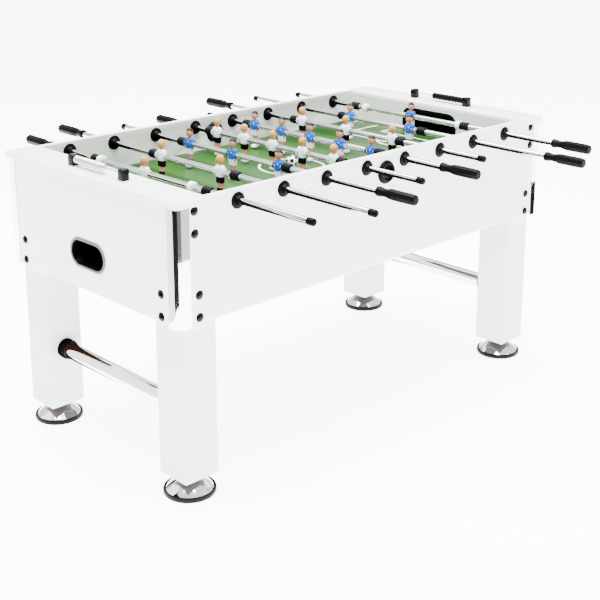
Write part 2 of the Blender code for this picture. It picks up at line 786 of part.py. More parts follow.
for index, (team, outermost, count, grip_end, bar_end, grip_bare, cap_bare) in enumerate(RODS):
    number = index + 1
    x = ROD_XS[index]
    at = Vector((x, 0, ROD_Z))
    grip_side = 1 if grip_end > 0 else -1
    bar_start = grip_end - grip_side * (GRIP_LENGTH - GRIP_OVERLAP)
    bar = rod_between("Y", (x, 0, ROD_Z), bar_start, bar_end, ROD_RADIUS, 12)
    facing = Matrix.Identity(4) if team == "white" else Matrix.Rotation(math.pi, 4, "Z")
    ys = figure_ys(count, outermost)
    riders = [
        copy_of(FIGURE, Matrix.Translation(at + Vector((0, y, 0))) @ facing) for y in ys
    ]
    edge = outermost + MAN_HALF_WIDTH
    if count == 1:
        edge = outermost + COLLAR_HALF
        for y in (-outermost, outermost):
            riders.append(
                rod_between(
                    "Y", (x, 0, ROD_Z), y - COLLAR_HALF, y + COLLAR_HALF, COLLAR_RADIUS, 12
                )
            )
    bar = join(bar, group(riders))

    # The stop on the cap side stays with the bar; the one on the grip side is loose.
    near = -grip_side * (edge + cap_bare - 0.001)
    far = -grip_side * (edge + cap_bare + STOP_LENGTH)
    fixed_stop = rod_between("Y", (x, 0, ROD_Z), near, far, STOP_RADIUS, 12)
    cap = rod_between(
        "Y", (x, 0, ROD_Z), bar_end + grip_side * (CAP_LENGTH - 0.002), bar_end, CAP_RADIUS, 12
    )
    bar = join(bar, group([fixed_stop, cap]))
    hollow_end = bar_end + grip_side * CAP_LENGTH
    hollow = rod_between(
        "Y", (x, 0, ROD_Z), bar_start + grip_side * 0.01, hollow_end, ROD_BORE, 8
    )
    bar = tidy(cut(bar, hollow))
    keep(bar, f"rod_{number}", CHROME, smooth=True)

    loose = turned(
        stop_profile(STOP_LENGTH / 2),
        "Y",
        (x, grip_side * (edge + grip_bare + GAP + STOP_LENGTH / 2), ROD_Z),
        STOP_SEGMENTS,
    )
    keep(loose, f"rod_{number}_stop", RUBBER, smooth=True)

    bore = bore_for_bar(GRIP_SEGMENTS)
    deep = GRIP_LENGTH - GRIP_OVERLAP - GAP * 2
    grip = turned(
        [
            (0.0, GRIP_LENGTH),
            (GRIP_RADIUS - 0.004, GRIP_LENGTH),
            (GRIP_RADIUS, GRIP_LENGTH - 0.007),
            (GRIP_RADIUS, 0.045),
            (GRIP_NECK, 0.030),
            (GRIP_NECK, 0.020),
            (GRIP_FLARE, 0.008),
            (GRIP_FLARE, 0.0),
            (bore, 0.0),
            (bore, GRIP_LENGTH - deep),
            (0.0, GRIP_LENGTH - deep),
        ],
        "Y",
        (x, grip_end - grip_side * GRIP_LENGTH, ROD_Z),
        GRIP_SEGMENTS,
        flip=grip_side < 0,
    )
    keep(grip, f"rod_{number}_grip", BLACK)

bpy.data.objects.remove(FIGURE, do_unlink=True)

# ---------------------------------------------------------------- ball
bm = bmesh.new()
bmesh.ops.create_icosphere(
    bm,
    subdivisions=2,
    radius=BALL_RADIUS,
    matrix=Matrix.Translation((0, 0, FIELD_TOP + GAP + BALL_RADIUS)),
)
keep(from_bmesh(bm), "ball", BALL_WHITE, smooth=True)

# ---------------------------------------------------------------- score counters
bead_length = BEAD_COUNT * BEAD_PITCH
for end, side, bead_side, bead_mat in (
    ("left", -1, 1, BEAD_WHITE),
    ("right", 1, -1, BEAD_BLACK),
):
    x = side * POST_X
    base = TOP_HEIGHT + GAP
    half = POST_SIZE / 2
    posts = []
    for y in (-POST_Y, POST_Y):
        foot = (x - half, x + half, half)
        head = (x - half + 0.003, x + half - 0.003, half)
        post = taper(foot, head, base, base + POST_HEIGHT)
        post.data.transform(Matrix.Translation((0, y, 0)))
        posts.append(post)
    wire = rod_between(
        "Y", (x, 0, base + WIRE_Z), -POST_Y, POST_Y, WIRE_RADIUS, 8
    )
    keep(tidy(join(group(posts), wire)), f"scorer_{end}", BLACK)

    hole = WIRE_RADIUS + 0.0006
    start = bead_length / 2
    outline = [(hole, start), (BEAD_RADIUS, start)]
    for bead in range(BEAD_COUNT - 1):
        seam = start - BEAD_PITCH * (bead + 1)
        outline.append((BEAD_RADIUS - 0.0025, seam))
        outline.append((BEAD_RADIUS, seam - BEAD_PITCH / 2))
    outline += [(BEAD_RADIUS, -start), (hole, -start)]
    middle = bead_side * (POST_Y - half - 0.001 - start)
    beads = turned(outline, "Y", (x, middle, base + WIRE_Z), 8)
    keep(beads, f"score_beads_{end}", bead_mat, smooth=True)

# ---------------------------------------------------------------- place on the origin
for obj in list(parts.objects):
    box = [Vector(corner) for corner in obj.bound_box]
    kind = obj.name.split("_")[0]
    anchor = sum(box, Vector()) / 8
    if kind == "rod":
        anchor.x = ROD_XS[int(obj.name.split("_")[1]) - 1]
        anchor.z = ROD_Z
    obj.data.transform(Matrix.Translation(-anchor))
    obj.location = anchor + Vector((0, SHIFT_Y, 0))
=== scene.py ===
"""The looks of the foosball table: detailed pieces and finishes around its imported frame."""

import itertools
import math

import bmesh
import bpy
from mathutils import Matrix, Vector


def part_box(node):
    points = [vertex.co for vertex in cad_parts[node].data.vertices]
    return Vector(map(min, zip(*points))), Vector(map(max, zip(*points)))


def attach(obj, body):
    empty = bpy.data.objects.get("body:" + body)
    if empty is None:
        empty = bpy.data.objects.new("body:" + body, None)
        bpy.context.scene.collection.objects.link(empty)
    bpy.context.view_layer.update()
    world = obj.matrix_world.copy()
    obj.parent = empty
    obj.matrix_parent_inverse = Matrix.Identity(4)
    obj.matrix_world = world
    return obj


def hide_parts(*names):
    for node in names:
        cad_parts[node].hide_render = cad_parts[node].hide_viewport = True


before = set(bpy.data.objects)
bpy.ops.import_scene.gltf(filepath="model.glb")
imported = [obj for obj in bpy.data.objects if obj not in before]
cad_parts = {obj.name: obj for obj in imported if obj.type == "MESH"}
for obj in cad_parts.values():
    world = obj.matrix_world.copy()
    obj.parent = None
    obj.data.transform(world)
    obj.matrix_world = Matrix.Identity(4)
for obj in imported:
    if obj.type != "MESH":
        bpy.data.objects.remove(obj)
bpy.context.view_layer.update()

CORNERS = ("front_left", "front_right", "back_left", "back_right")
ENDS = (("left", -1), ("right", 1))
LONG_SIDES = (("front", -1), ("back", 1))
ROD_COUNT = 8
GAP = 0.0003  # clearance between neighbouring pieces

# Sockets of a colour Mix node.
MIX_A, MIX_B, MIX_RESULT = 6, 7, 2


# ---------------------------------------------------------------- finishes
COAT_ROUGHNESS = 0.08
RELIEF_DEPTH = 0.0004
FINE_DETAIL = 6.0
BROAD_DETAIL = 3.0
BROAD_SHARE = 40  # the broad noise is this much coarser than the grain
SMOOTHEST = 0.02


def finish(
    name,
    colour,
    roughness=0.5,
    metallic=0.0,
    grain=400.0,
    bump=0.0,
    vary=0.03,
    rough_vary=0.06,
    coat=0.0,
    stretch=(1.0, 1.0, 1.0),
    gloss=0.5,
):
    """A Principled finish whose colour, roughness and relief vary with a fine noise."""
    made = bpy.data.materials.new(name)
    made.use_nodes = True
    tree = made.node_tree
    shader = tree.nodes["Principled BSDF"]
    shader.inputs["Metallic"].default_value = metallic
    shader.inputs["Coat Weight"].default_value = coat
    shader.inputs["Specular IOR Level"].default_value = gloss
    shader.inputs["Coat Roughness"].default_value = COAT_ROUGHNESS
    place = tree.nodes.new("ShaderNodeTexCoord")
    size = tree.nodes.new("ShaderNodeMapping")
    size.inputs["Scale"].default_value = stretch
    tree.links.new(place.outputs["Object"], size.inputs["Vector"])
    noise = tree.nodes.new("ShaderNodeTexNoise")
    noise.inputs["Scale"].default_value = grain
    noise.inputs["Detail"].default_value = FINE_DETAIL
    tree.links.new(size.outputs["Vector"], noise.inputs["Vector"])
    broad = tree.nodes.new("ShaderNodeTexNoise")
    broad.inputs["Scale"].default_value = grain / BROAD_SHARE
    broad.inputs["Detail"].default_value = BROAD_DETAIL
    tree.links.new(size.outputs["Vector"], broad.inputs["Vector"])
    shade = tree.nodes.new("ShaderNodeMix")
    shade.data_type = "RGBA"
    shade.inputs[MIX_A].default_value = (*[c * (1 - vary) for c in colour], 1.0)
    shade.inputs[MIX_B].default_value = (*[min(1.0, c * (1 + vary)) for c in colour], 1.0)
    tree.links.new(broad.outputs["Fac"], shade.inputs["Factor"])
    tree.links.new(shade.outputs[MIX_RESULT], shader.inputs["Base Color"])
    rough = tree.nodes.new("ShaderNodeMapRange")
    rough.inputs["To Min"].default_value = max(SMOOTHEST, roughness - rough_vary)
    rough.inputs["To Max"].default_value = min(1.0, roughness + rough_vary)
    tree.links.new(noise.outputs["Fac"], rough.inputs["Value"])
    tree.links.new(rough.outputs["Result"], shader.inputs["Roughness"])
    if bump:
        relief = tree.nodes.new("ShaderNodeBump")
        relief.inputs["Strength"].default_value = bump
        relief.inputs["Distance"].default_value = RELIEF_DEPTH
        tree.links.new(noise.outputs["Fac"], relief.inputs["Height"])
        tree.links.new(relief.outputs["Normal"], shader.inputs["Normal"])
    return made


STRIPE_PITCH = 0.150
STRIPE_EDGE = 0.08
STRIPE_DARK = (0.50, 0.62, 0.55, 1.0)
STRIPE_PLAIN = (1.0, 1.0, 1.0, 1.0)
TURF_GREEN = (0.020, 0.062, 0.011)


def turf_finish():
    """Mown stripes across the pitch, over a fine printed grain."""
    made = finish("field_print", TURF_GREEN, 0.34, grain=900, bump=0.05, gloss=0.16)
    tree = made.node_tree
    shader = tree.nodes["Principled BSDF"]
    place = tree.nodes.new("ShaderNodeTexCoord")
    split = tree.nodes.new("ShaderNodeSeparateXYZ")
    tree.links.new(place.outputs["Object"], split.inputs["Vector"])
    wave = tree.nodes.new("ShaderNodeMath")
    wave.operation = "MULTIPLY"
    wave.inputs[1].default_value = 2 * math.pi / STRIPE_PITCH
    tree.links.new(split.outputs["X"], wave.inputs[0])
    sine = tree.nodes.new("ShaderNodeMath")
    sine.operation = "SINE"
    tree.links.new(wave.outputs[0], sine.inputs[0])
    edge = tree.nodes.new("ShaderNodeMapRange")
    edge.inputs["From Min"].default_value = -STRIPE_EDGE
    edge.inputs["From Max"].default_value = STRIPE_EDGE
    tree.links.new(sine.outputs[0], edge.inputs["Value"])
    mix = tree.nodes.new("ShaderNodeMix")
    mix.data_type = "RGBA"
    mix.blend_type = "MULTIPLY"
    mix.inputs["Factor"].default_value = 1.0
    tone = tree.nodes.new("ShaderNodeMix")
    tone.data_type = "RGBA"
    tone.inputs[MIX_A].default_value = STRIPE_DARK
    tone.inputs[MIX_B].default_value = STRIPE_PLAIN
    tree.links.new(edge.outputs["Result"], tone.inputs["Factor"])
    base = shader.inputs["Base Color"].links[0].from_socket
    tree.links.new(base, mix.inputs[MIX_A])
    tree.links.new(tone.outputs[MIX_RESULT], mix.inputs[MIX_B])
    tree.links.new(mix.outputs[MIX_RESULT], shader.inputs["Base Color"])
    return made


LAMINATE = finish("white_laminate", (0.70, 0.73, 0.72), 0.36, grain=700, bump=0.10, vary=0.012)
# Painted shade: a darker copy of the white laminate, for faces inside the table that lie in
# shade.
SHADED_LAMINATE = finish("grey_laminate", (0.47, 0.51, 0.45), 0.45, grain=700, bump=0.10, vary=0.02)
TURF = turf_finish()
BOARD = finish("brown_board", (0.016, 0.006, 0.003), 0.6, grain=500, bump=0.2, vary=0.15)
LINE = finish("field_lines", (0.74, 0.80, 0.72), 0.45, grain=900, bump=0.08)
CHROME = finish("chromed_steel", (0.80, 0.81, 0.83), 0.06, 1.0, 160, 0.02, 0.02, 0.03)
BAR = finish("rod_steel", (0.74, 0.75, 0.77), 0.09, 1.0, 500, 0.02, 0.03, 0.03, 0.0, (1, 0.05, 1))
PLASTIC_BLACK = (0.0012, 0.0012, 0.0013)
BLACK = finish("black_plastic", PLASTIC_BLACK, 0.36, 0.0, 1600, 0.15, 0.2, gloss=0.035)
RUBBER = finish("black_rubber", (0.0014, 0.0024, 0.0026), 0.45, 0.0, 1400, 0.2, 0.2, gloss=0.07)
GLOSS = finish("black_gloss", (0.0014, 0.0014, 0.0015), 0.16, 0.0, 500, 0.02, 0.1, gloss=0.09)
SILVER = finish("silver_plastic", (0.10, 0.10, 0.105), 0.34, 0.6, 900, 0.08)
BALL_WHITE = finish("ball_plastic", (0.80, 0.80, 0.79), 0.3, grain=900, bump=0.08)
BEAD_PALE = finish("white_beads", (0.62, 0.63, 0.65), 0.14, 0.75, 800, 0.04)
BEAD_DARK = finish("black_beads", PLASTIC_BLACK, 0.25, 0.0, 800, 0.04, gloss=0.05)
SKIN = finish("skin_paint", (0.46, 0.20, 0.11), 0.4, grain=1500, bump=0.05, gloss=0.25)
BLOND = finish("blond_paint", (0.40, 0.20, 0.035), 0.5, grain=1800, bump=0.4, gloss=0.25)
DARK_TONE = (0.006, 0.005, 0.004)
DARK_HAIR = finish("dark_hair_paint", DARK_TONE, 0.45, grain=1800, bump=0.4, gloss=0.15)


def kit(name, colour, gloss):
    """Satin paint of the players' clothes."""
    return finish(name, colour, 0.38, grain=1500, bump=0.06, gloss=gloss)


WHITE_KIT = kit("white_kit_paint", (0.78, 0.84, 0.88), 0.35)
BLUE_KIT = kit("blue_kit_paint", (0.006, 0.080, 0.33), 0.12)
BLACK_KIT = kit("black_kit_paint", (0.0016, 0.0016, 0.0018), 0.06)


# ---------------------------------------------------------------- mesh code
SMOOTH_ANGLE = 35.0
WELD = 0.00001


def placed(name, mesh, mats, body, stands_for=(), smooth=SMOOTH_ANGLE):
    """A finished piece: finishes, shading, body and the CAD nodes that it stands for."""
    mesh.name = name
    slots = [face.material_index for face in mesh.polygons]
    mesh.materials.clear()
    for mat in mats:
        mesh.materials.append(mat)
    mesh.polygons.foreach_set("material_index", slots if len(mats) > 1 else [0] * len(slots))
    if smooth:
        mesh.polygons.foreach_set("use_smooth", [True] * len(mesh.polygons))
        mesh.set_sharp_from_angle(angle=math.radians(smooth))
    obj = bpy.data.objects.new(name, mesh)
    bpy.context.scene.collection.objects.link(obj)
    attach(obj, body)
    if stands_for:
        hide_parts(*stands_for)
    return obj


def to_mesh(bm):
    """Closes an edit mesh into a new mesh with its faces turned outwards."""
    bmesh.ops.recalc_face_normals(bm, faces=bm.faces)
    mesh = bpy.data.meshes.new("piece")
    bm.to_mesh(mesh)
    bm.free()
    return mesh


# Turns made about Z so that they stand along another axis.
STAND = {
    "X": Matrix(((0, 0, 1, 0), (1, 0, 0, 0), (0, 1, 0, 0), (0, 0, 0, 1))),
    "Y": Matrix(((0, 1, 0, 0), (0, 0, 1, 0), (1, 0, 0, 0), (0, 0, 0, 1))),
    "Z": Matrix.Identity(4),
}


def arc(cu, cv, radius, start, end, count=8):
    """Points along part of a circle, between two angles in degrees."""
    steps = [math.radians(start + (end - start) * i / count) for i in range(count + 1)]
    return [(cu + radius * math.cos(a), cv + radius * math.sin(a)) for a in steps]


def circle(cu, cv, radius, count):
    """A whole circle, run clockwise."""
    return arc(cu, cv, radius, 360, 360 / count, count - 1)


def stadium(cu, cv, half_length, half_height, count=16):
    """A slot with round ends."""
    straight = half_length - half_height
    right = arc(cu + straight, cv, half_height, -90, 90, count)
    return right + arc(cu - straight, cv, half_height, 90, 270, count)


def plate(outlines, axis, start, end, edge=0.0006):
    """Flat outlines, the later ones holes in the first, made thick with rounded edges.

    Outline points are (Y, Z) for axis X, (Z, X) for axis Y and (X, Y) for axis Z.
    """
    curve = bpy.data.curves.new("outline", "CURVE")
    curve.dimensions = "2D"
    curve.fill_mode = "BOTH"
    curve.extrude = abs(end - start) / 2 - edge
    curve.bevel_depth = edge
    curve.bevel_resolution = 2
    curve.offset = -edge
    for points in outlines:
        spline = curve.splines.new("POLY")
        spline.points.add(len(points) - 1)
        for point, (u, v) in zip(spline.points, points):
            point.co = (u, v, 0.0, 1.0)
        spline.use_cyclic_u = True
    obj = bpy.data.objects.new("outline", curve)
    bpy.context.scene.collection.objects.link(obj)
    bpy.context.view_layer.update()
    graph = bpy.context.evaluated_depsgraph_get()
    mesh = bpy.data.meshes.new_from_object(obj.evaluated_get(graph))
    bpy.data.objects.remove(obj, do_unlink=True)
    middle = Vector((0, 0, 0))
    middle["XYZ".index(axis)] = (start + end) / 2
    mesh.transform(Matrix.Translation(middle) @ STAND[axis])
    bm = bmesh.new()
    bm.from_mesh(mesh)
    bmesh.ops.remove_doubles(bm, verts=bm.verts, dist=WELD)
    bpy.data.meshes.remove(mesh)
    return to_mesh(bm)


def turned(profile, axis, at, segments=32, flute=None):
    """Turns (radius, height) points about an axis; flute(angle, height) scales the radius."""
    bm = bmesh.new()
    rings = []
    for radius, height in profile:
        if radius == 0.0:
            rings.append([bm.verts.new((0, 0, height))])
            continue
        ring = []
        for i in range(segments):
            angle = 2 * math.pi * i / segments
            size = radius * (flute(angle, height) if flute else 1.0)
            ring.append(bm.verts.new((size * math.cos(angle), size * math.sin(angle), height)))
        rings.append(ring)
    pairs = list(zip(rings, rings[1:]))
    if profile[0][0] > 0.0:
        pairs.append((rings[-1], rings[0]))
    for a, b in pairs:
        for i in range(segments):
            j = (i + 1) % segments
            if len(a) == 1 and len(b) == 1:
                continue
            if len(a) == 1:
                bm.faces.new((a[0], b[i], b[j]))
            elif len(b) == 1:
                bm.faces.new((a[i], a[j], b[0]))
            else:
                bm.faces.new((a[i], a[j], b[j], b[i]))
    mesh = to_mesh(bm)
    mesh.transform(Matrix.Translation(Vector(at)) @ STAND[axis])
    return mesh


def loft(bm, sections, segments=20, mat=None, power=2.4):
    """Closed skin through (z, half x, half y, centre x, centre y) sections.

    mat(z, angle) gives each face's finish.
    """
    rings = []
    for z, hx, hy, cx, cy in sections:
        ring = []
        for i in range(segments):
            angle = 2 * math.pi * i / segments
            c, s = math.cos(angle), math.sin(angle)
            u = math.copysign(abs(c) ** (2 / power), c)
            v = math.copysign(abs(s) ** (2 / power), s)
            ring.append(bm.verts.new((cx + hx * u, cy + hy * v, z)))
        rings.append(ring)
    for k in range(len(rings) - 1):
        z = (sections[k][0] + sections[k + 1][0]) / 2
        for i in range(segments):
            j = (i + 1) % segments
            face = bm.faces.new((rings[k][i], rings[k][j], rings[k + 1][j], rings[k + 1][i]))
            face.material_index = mat(z, 2 * math.pi * (i + 0.5) / segments) if mat else 0
    for ring, k in ((rings[0], 0), (rings[-1], -1)):
        face = bm.faces.new(ring)
        face.material_index = mat(sections[k][0], 0.0) if mat else 0


def middle_of(node):
    lo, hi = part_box(node)
    return Vector([(a + b) / 2 for a, b in zip(lo, hi)])


# ---------------------------------------------------------------- sizes from the frame
FRONT_LO, FRONT_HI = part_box("side_panel_front")
BACK_LO, BACK_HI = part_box("side_panel_back")
CENTRE_Y = (FRONT_LO[1] + BACK_HI[1]) / 2
HUB = 0.009  # the bearings stand this far out of both faces of a side panel
HALF_L = FRONT_HI[0]
HALF_W = (BACK_HI[1] - FRONT_LO[1]) / 2 - HUB
SIDE_THICK = FRONT_HI[1] - FRONT_LO[1] - 2 * HUB
PANEL_BOTTOM = FRONT_LO[2]
TOP = FRONT_HI[2]
CAP_LO, CAP_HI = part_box("end_top_right")
CAP_INNER = CAP_LO[0]
CAP_BOTTOM = CAP_LO[2]
FIELD_LO, FIELD_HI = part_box("playfield")
FIELD_TOP = FIELD_HI[2]
RODS = []
for number in range(1, ROD_COUNT + 1):
    stop = middle_of(f"rod_{number}_stop")
    bar_lo, bar_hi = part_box(f"rod_{number}")
    grip_lo, grip_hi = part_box(f"rod_{number}_grip")
    RODS.append((number, stop, bar_lo, bar_hi, grip_lo, grip_hi))
ROD_Z = RODS[0][1].z
ENTRY_DROP = 0.024
ENTRY_Z = ROD_Z - ENTRY_DROP
# Bare bar before the rubber stops, where they stand off the figures.
GRIP_BARE = {7: 0.016}
CAP_BARE = {1: 0.038, 2: 0.030, 8: 0.023}
BAR_RADIUS = 0.00795
ENTRY_HOLE = 0.0225
BEARING_HOLE = 0.0105
PANEL_EDGE = 0.0005
POST_SPAN = 0.0155  # length of the rounded post at each end of a side panel
POST_BEND = 0.0150
POST_SEAM = 0.0006
POST_EDGE = 0.0004
PAINTED_SHADE_DROP = 0.03  # the painted shade inside starts this far below the pitch


# ---------------------------------------------------------------- cabinet boards
def side_panel(name, sign):
    """Long board between two rounded end posts, with painted shade inside over the pitch: a
    darker copy of the laminate.
    """
    inner = sign * (HALF_W - SIDE_THICK)
    outer = sign * HALF_W
    notch = CAP_INNER - GAP
    end = HALF_L - POST_SPAN
    low = CAP_BOTTOM - GAP
    outline = [
        (PANEL_BOTTOM, -end),
        (PANEL_BOTTOM, end),
        (low, end),
        (low, notch),
        (TOP, notch),
        (TOP, -notch),
        (low, -notch),
        (low, -end),
    ]
    holes = [circle(ENTRY_Z, 0, ENTRY_HOLE, 48)]
    for _, stop, *_ in RODS:
        holes.append(circle(ROD_Z, stop.x, BEARING_HOLE, 24))
    y0, y1 = sorted((CENTRE_Y + inner, CENTRE_Y + outer))
    mesh = plate([outline, *holes], "Y", y0, y1, PANEL_EDGE)
    obj = placed(name, mesh, [LAMINATE, SHADED_LAMINATE], "cabinet", [name])
    # Painted shade: the inner faces from just below the pitch upwards take the darker laminate.
    for face in mesh.polygons:
        if face.normal.y * sign < -0.9 and face.center.z > FIELD_TOP - PAINTED_SHADE_DROP:
            face.material_index = 1
    for where, side in ENDS:
        x = HALF_L - POST_BEND
        y = HALF_W - POST_BEND
        outline = arc(x, y, POST_BEND, 0, 90, 10)
        outline += [(x - POST_SEAM, HALF_W), (x - POST_SEAM, HALF_W - SIDE_THICK)]
        outline += [(HALF_L, HALF_W - SIDE_THICK)]
        outline = [(side * u, CENTRE_Y + sign * v) for u, v in outline]
        post = plate([outline], "Z", PANEL_BOTTOM, low, POST_EDGE)
        placed(f"{name}_end_{where}", post, [LAMINATE], "cabinet")


side_panel("side_panel_front", -1)
side_panel("side_panel_back", 1)

RETURN_LO, RETURN_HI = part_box("return_ring_left")
RETURN_Z = (RETURN_LO[2] + RETURN_HI[2]) / 2
FLANGE_L = (RETURN_HI[1] - RETURN_LO[1]) / 2
FLANGE_H = (RETURN_HI[2] - RETURN_LO[2]) / 2
FLANGE_WIDTH = 0.0085
OVAL_L = FLANGE_L - FLANGE_WIDTH
OVAL_H = FLANGE_H - FLANGE_WIDTH
OVAL_CUT = 0.0030  # the hole in the board is this much larger all round
RIM_DEPTH = 0.003
WALL_BACK = 0.630
TRAY_HALF = 0.120
END_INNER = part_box("end_panel_right")[0][0]
LINING = 0.0010
LINING_GAP = 0.0006
END_TOP_BEND = 0.014
END_TOP_EDGE = 0.0018

for end, side in ENDS:
    lo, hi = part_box(f"end_panel_{end}")
    outline = [(lo[1], lo[2]), (hi[1], lo[2]), (hi[1], hi[2]), (lo[1], hi[2])]
    hole = stadium(CENTRE_Y, RETURN_Z, OVAL_L + OVAL_CUT, OVAL_H + OVAL_CUT)
    mesh = plate([outline, hole], "X", lo[0], hi[0], PANEL_EDGE)
    placed(f"end_panel_{end}", mesh, [LAMINATE], "cabinet", [f"end_panel_{end}"])

    lo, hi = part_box(f"return_ring_{end}")
    outer_x = hi[0] if side > 0 else lo[0]
    inner_x = lo[0] if side > 0 else hi[0]
    lip = side * RIM_DEPTH
    rim = plate(
        [
            stadium(CENTRE_Y, RETURN_Z, FLANGE_L, FLANGE_H),
            stadium(CENTRE_Y, RETURN_Z, OVAL_L + 0.0018, OVAL_H + 0.0018),
        ],
        "X",
        *sorted((outer_x - lip, outer_x)),
        0.0012,
    )
    placed(f"return_rim_{end}", rim, [SILVER], "cabinet", [f"return_ring_{end}"])
    sleeve = plate(
        [
            stadium(CENTRE_Y, RETURN_Z, OVAL_L + 0.0024, OVAL_H + 0.0024),
            stadium(CENTRE_Y, RETURN_Z, OVAL_L, OVAL_H),
        ],
        "X",
        *sorted((inner_x, outer_x - lip / 2)),
        0.0004,
    )
    placed(f"return_sleeve_{end}", sleeve, [BLACK], "cabinet")

    # Black lining of the ball return, behind the goal wall.
    near = WALL_BACK + LINING_GAP
    far = END_INNER - LINING_GAP
    wide = TRAY_HALF - 0.0008
    low = RETURN_Z - OVAL_H - 0.0036
    mouth = FIELD_TOP - 0.004
    roof = CAP_BOTTOM - 0.002
    linings = [
        (near, near + LINING, -wide, wide, low, mouth),
        (far - LINING, far, -wide, wide, RETURN_Z + OVAL_H + 0.004, roof),
        (near, far, -wide, -wide + LINING, low, roof),
        (near, far, wide - LINING, wide, low, roof),
        (near, far, -wide, wide, low, low + 0.0008),
    ]
    for number, (x0, x1, y0, y1, z0, z1) in enumerate(linings, 1):
        x0, x1 = sorted((side * x0, side * x1))
        outline = [(x0, CENTRE_Y + y0), (x1, CENTRE_Y + y0), (x1, CENTRE_Y + y1)]
        outline.append((x0, CENTRE_Y + y1))
        sheet = plate([outline], "Z", z0, z1, 0.0002)
        placed(f"return_lining_{end}_{number}", sheet, [BLACK], "cabinet")

    lo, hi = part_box(f"end_top_{end}")
    inner = lo[0] if side > 0 else hi[0]
    outer = hi[0] if side > 0 else lo[0]
    bend = END_TOP_BEND
    far = abs(outer) - bend
    outline = [(abs(inner), lo[1])]
    outline += arc(far, lo[1] + bend, bend, 270, 360, 10)
    outline += arc(far, hi[1] - bend, bend, 0, 90, 10)
    outline += [(abs(inner), hi[1])]
    outline = [(side * u, v) for u, v in outline]
    mesh = plate([outline], "Z", lo[2], hi[2], END_TOP_EDGE)
    placed(f"end_top_{end}", mesh, [LAMINATE], "cabinet", [f"end_top_{end}"])

# ---------------------------------------------------------------- pitch and goals
def paint(node, mat):
    """Gives a shown solid its finish."""
    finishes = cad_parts[node].data.materials
    finishes.clear()
    finishes.append(mat)


FIELD_EDGE = 0.0004
outline = [(FIELD_LO[0], FIELD_LO[1]), (FIELD_HI[0], FIELD_LO[1])]
outline += [(FIELD_HI[0], FIELD_HI[1]), (FIELD_LO[0], FIELD_HI[1])]
mesh = plate([outline], "Z", FIELD_LO[2], FIELD_HI[2], FIELD_EDGE)
for face in mesh.polygons:
    face.material_index = 0 if face.normal.z > 0.9 else 1
placed("playfield", mesh, [TURF, BOARD], "cabinet", ["playfield"], smooth=0.0)
for end, side in ENDS:
    # The goal walls also take the darker laminate, as painted shade.
    paint(f"goal_wall_{end}", SHADED_LAMINATE)
    paint(f"goal_frame_{end}", BLACK)
for corner in CORNERS:
    paint(f"corner_fixing_{corner}", BLACK)

LINE_WIDTH = 0.0070
HALF_LINE = LINE_WIDTH / 2
LINE_THICK = 0.00018
LINE_EDGE = 0.00003
CENTRE_CIRCLE = 0.095
CENTRE_SPOT = 0.009
AREAS = ((0.175, 0.215), (0.070, 0.140))  # depth and half width of the boxes before a goal
AREA_INSET = 0.004
PENALTY_AT = 0.122
PENALTY_SPOT = 0.007
PENALTY_BOW = 0.085
CORNER_BOW = 0.040
line_numbers = itertools.count(1)


def line(outlines):
    """One printed line of the pitch."""
    mesh = plate(outlines, "Z", FIELD_TOP, FIELD_TOP + LINE_THICK, LINE_EDGE)
    placed(f"field_line_{next(line_numbers)}", mesh, [LINE], "cabinet")


def rectangle(x0, x1, y0, y1):
    """Corners of a box of lines."""
    return [(x0, y0), (x1, y0), (x1, y1), (x0, y1)]


FIELD_HALF_L = FIELD_HI[0]
FIELD_HALF_W = HALF_W - SIDE_THICK
near, far = -HALF_LINE, HALF_LINE
line([rectangle(near, far, CENTRE_Y - FIELD_HALF_W, CENTRE_Y + FIELD_HALF_W)])
line(
    [
        arc(0, CENTRE_Y, CENTRE_CIRCLE + HALF_LINE, 0, 354, 59),
        arc(0, CENTRE_Y, CENTRE_CIRCLE - HALF_LINE, 354, 0, 59),
    ]
)
line([arc(0, CENTRE_Y, CENTRE_SPOT, 0, 345, 23)])
for end, side in ENDS:
    for depth, half in AREAS:
        x0, x1 = sorted((side * (FIELD_HALF_L - AREA_INSET), side * (FIELD_HALF_L - depth)))
        y0, y1 = CENTRE_Y - half, CENTRE_Y + half
        outer = rectangle(x0 - HALF_LINE, x1 + HALF_LINE, y0 - HALF_LINE, y1 + HALF_LINE)
        inner = rectangle(x0 + HALF_LINE, x1 - HALF_LINE, y0 + HALF_LINE, y1 - HALF_LINE)
        line([outer, inner])
    centre = side * (FIELD_HALF_L - PENALTY_AT)
    line([arc(centre, CENTRE_Y, PENALTY_SPOT, 0, 345, 23)])
    edge_x = AREAS[0][0] - PENALTY_AT + HALF_LINE
    open_angle = math.degrees(math.acos(edge_x / PENALTY_BOW))
    turn = 180 if side > 0 else 0
    first, last = turn - open_angle, turn + open_angle
    bow = arc(centre, CENTRE_Y, PENALTY_BOW + HALF_LINE, first, last, 20)
    bow += arc(centre, CENTRE_Y, PENALTY_BOW - HALF_LINE, last, first, 20)
    line([bow])
    for across in (-1, 1):
        y = across * FIELD_HALF_W
        x = side * FIELD_HALF_L
        quarter = arc(0, 0, CORNER_BOW + HALF_LINE, 0, 90, 10)
        quarter += arc(0, 0, CORNER_BOW - HALF_LINE, 90, 0, 10)
        line([[(x - side * u, CENTRE_Y + y - across * v) for u, v in quarter]])

# ---------------------------------------------------------------- legs, feet, corners
LEG_EDGE = 0.0014
STEM_RADIUS = 0.005
NUT_TOP = 0.0517
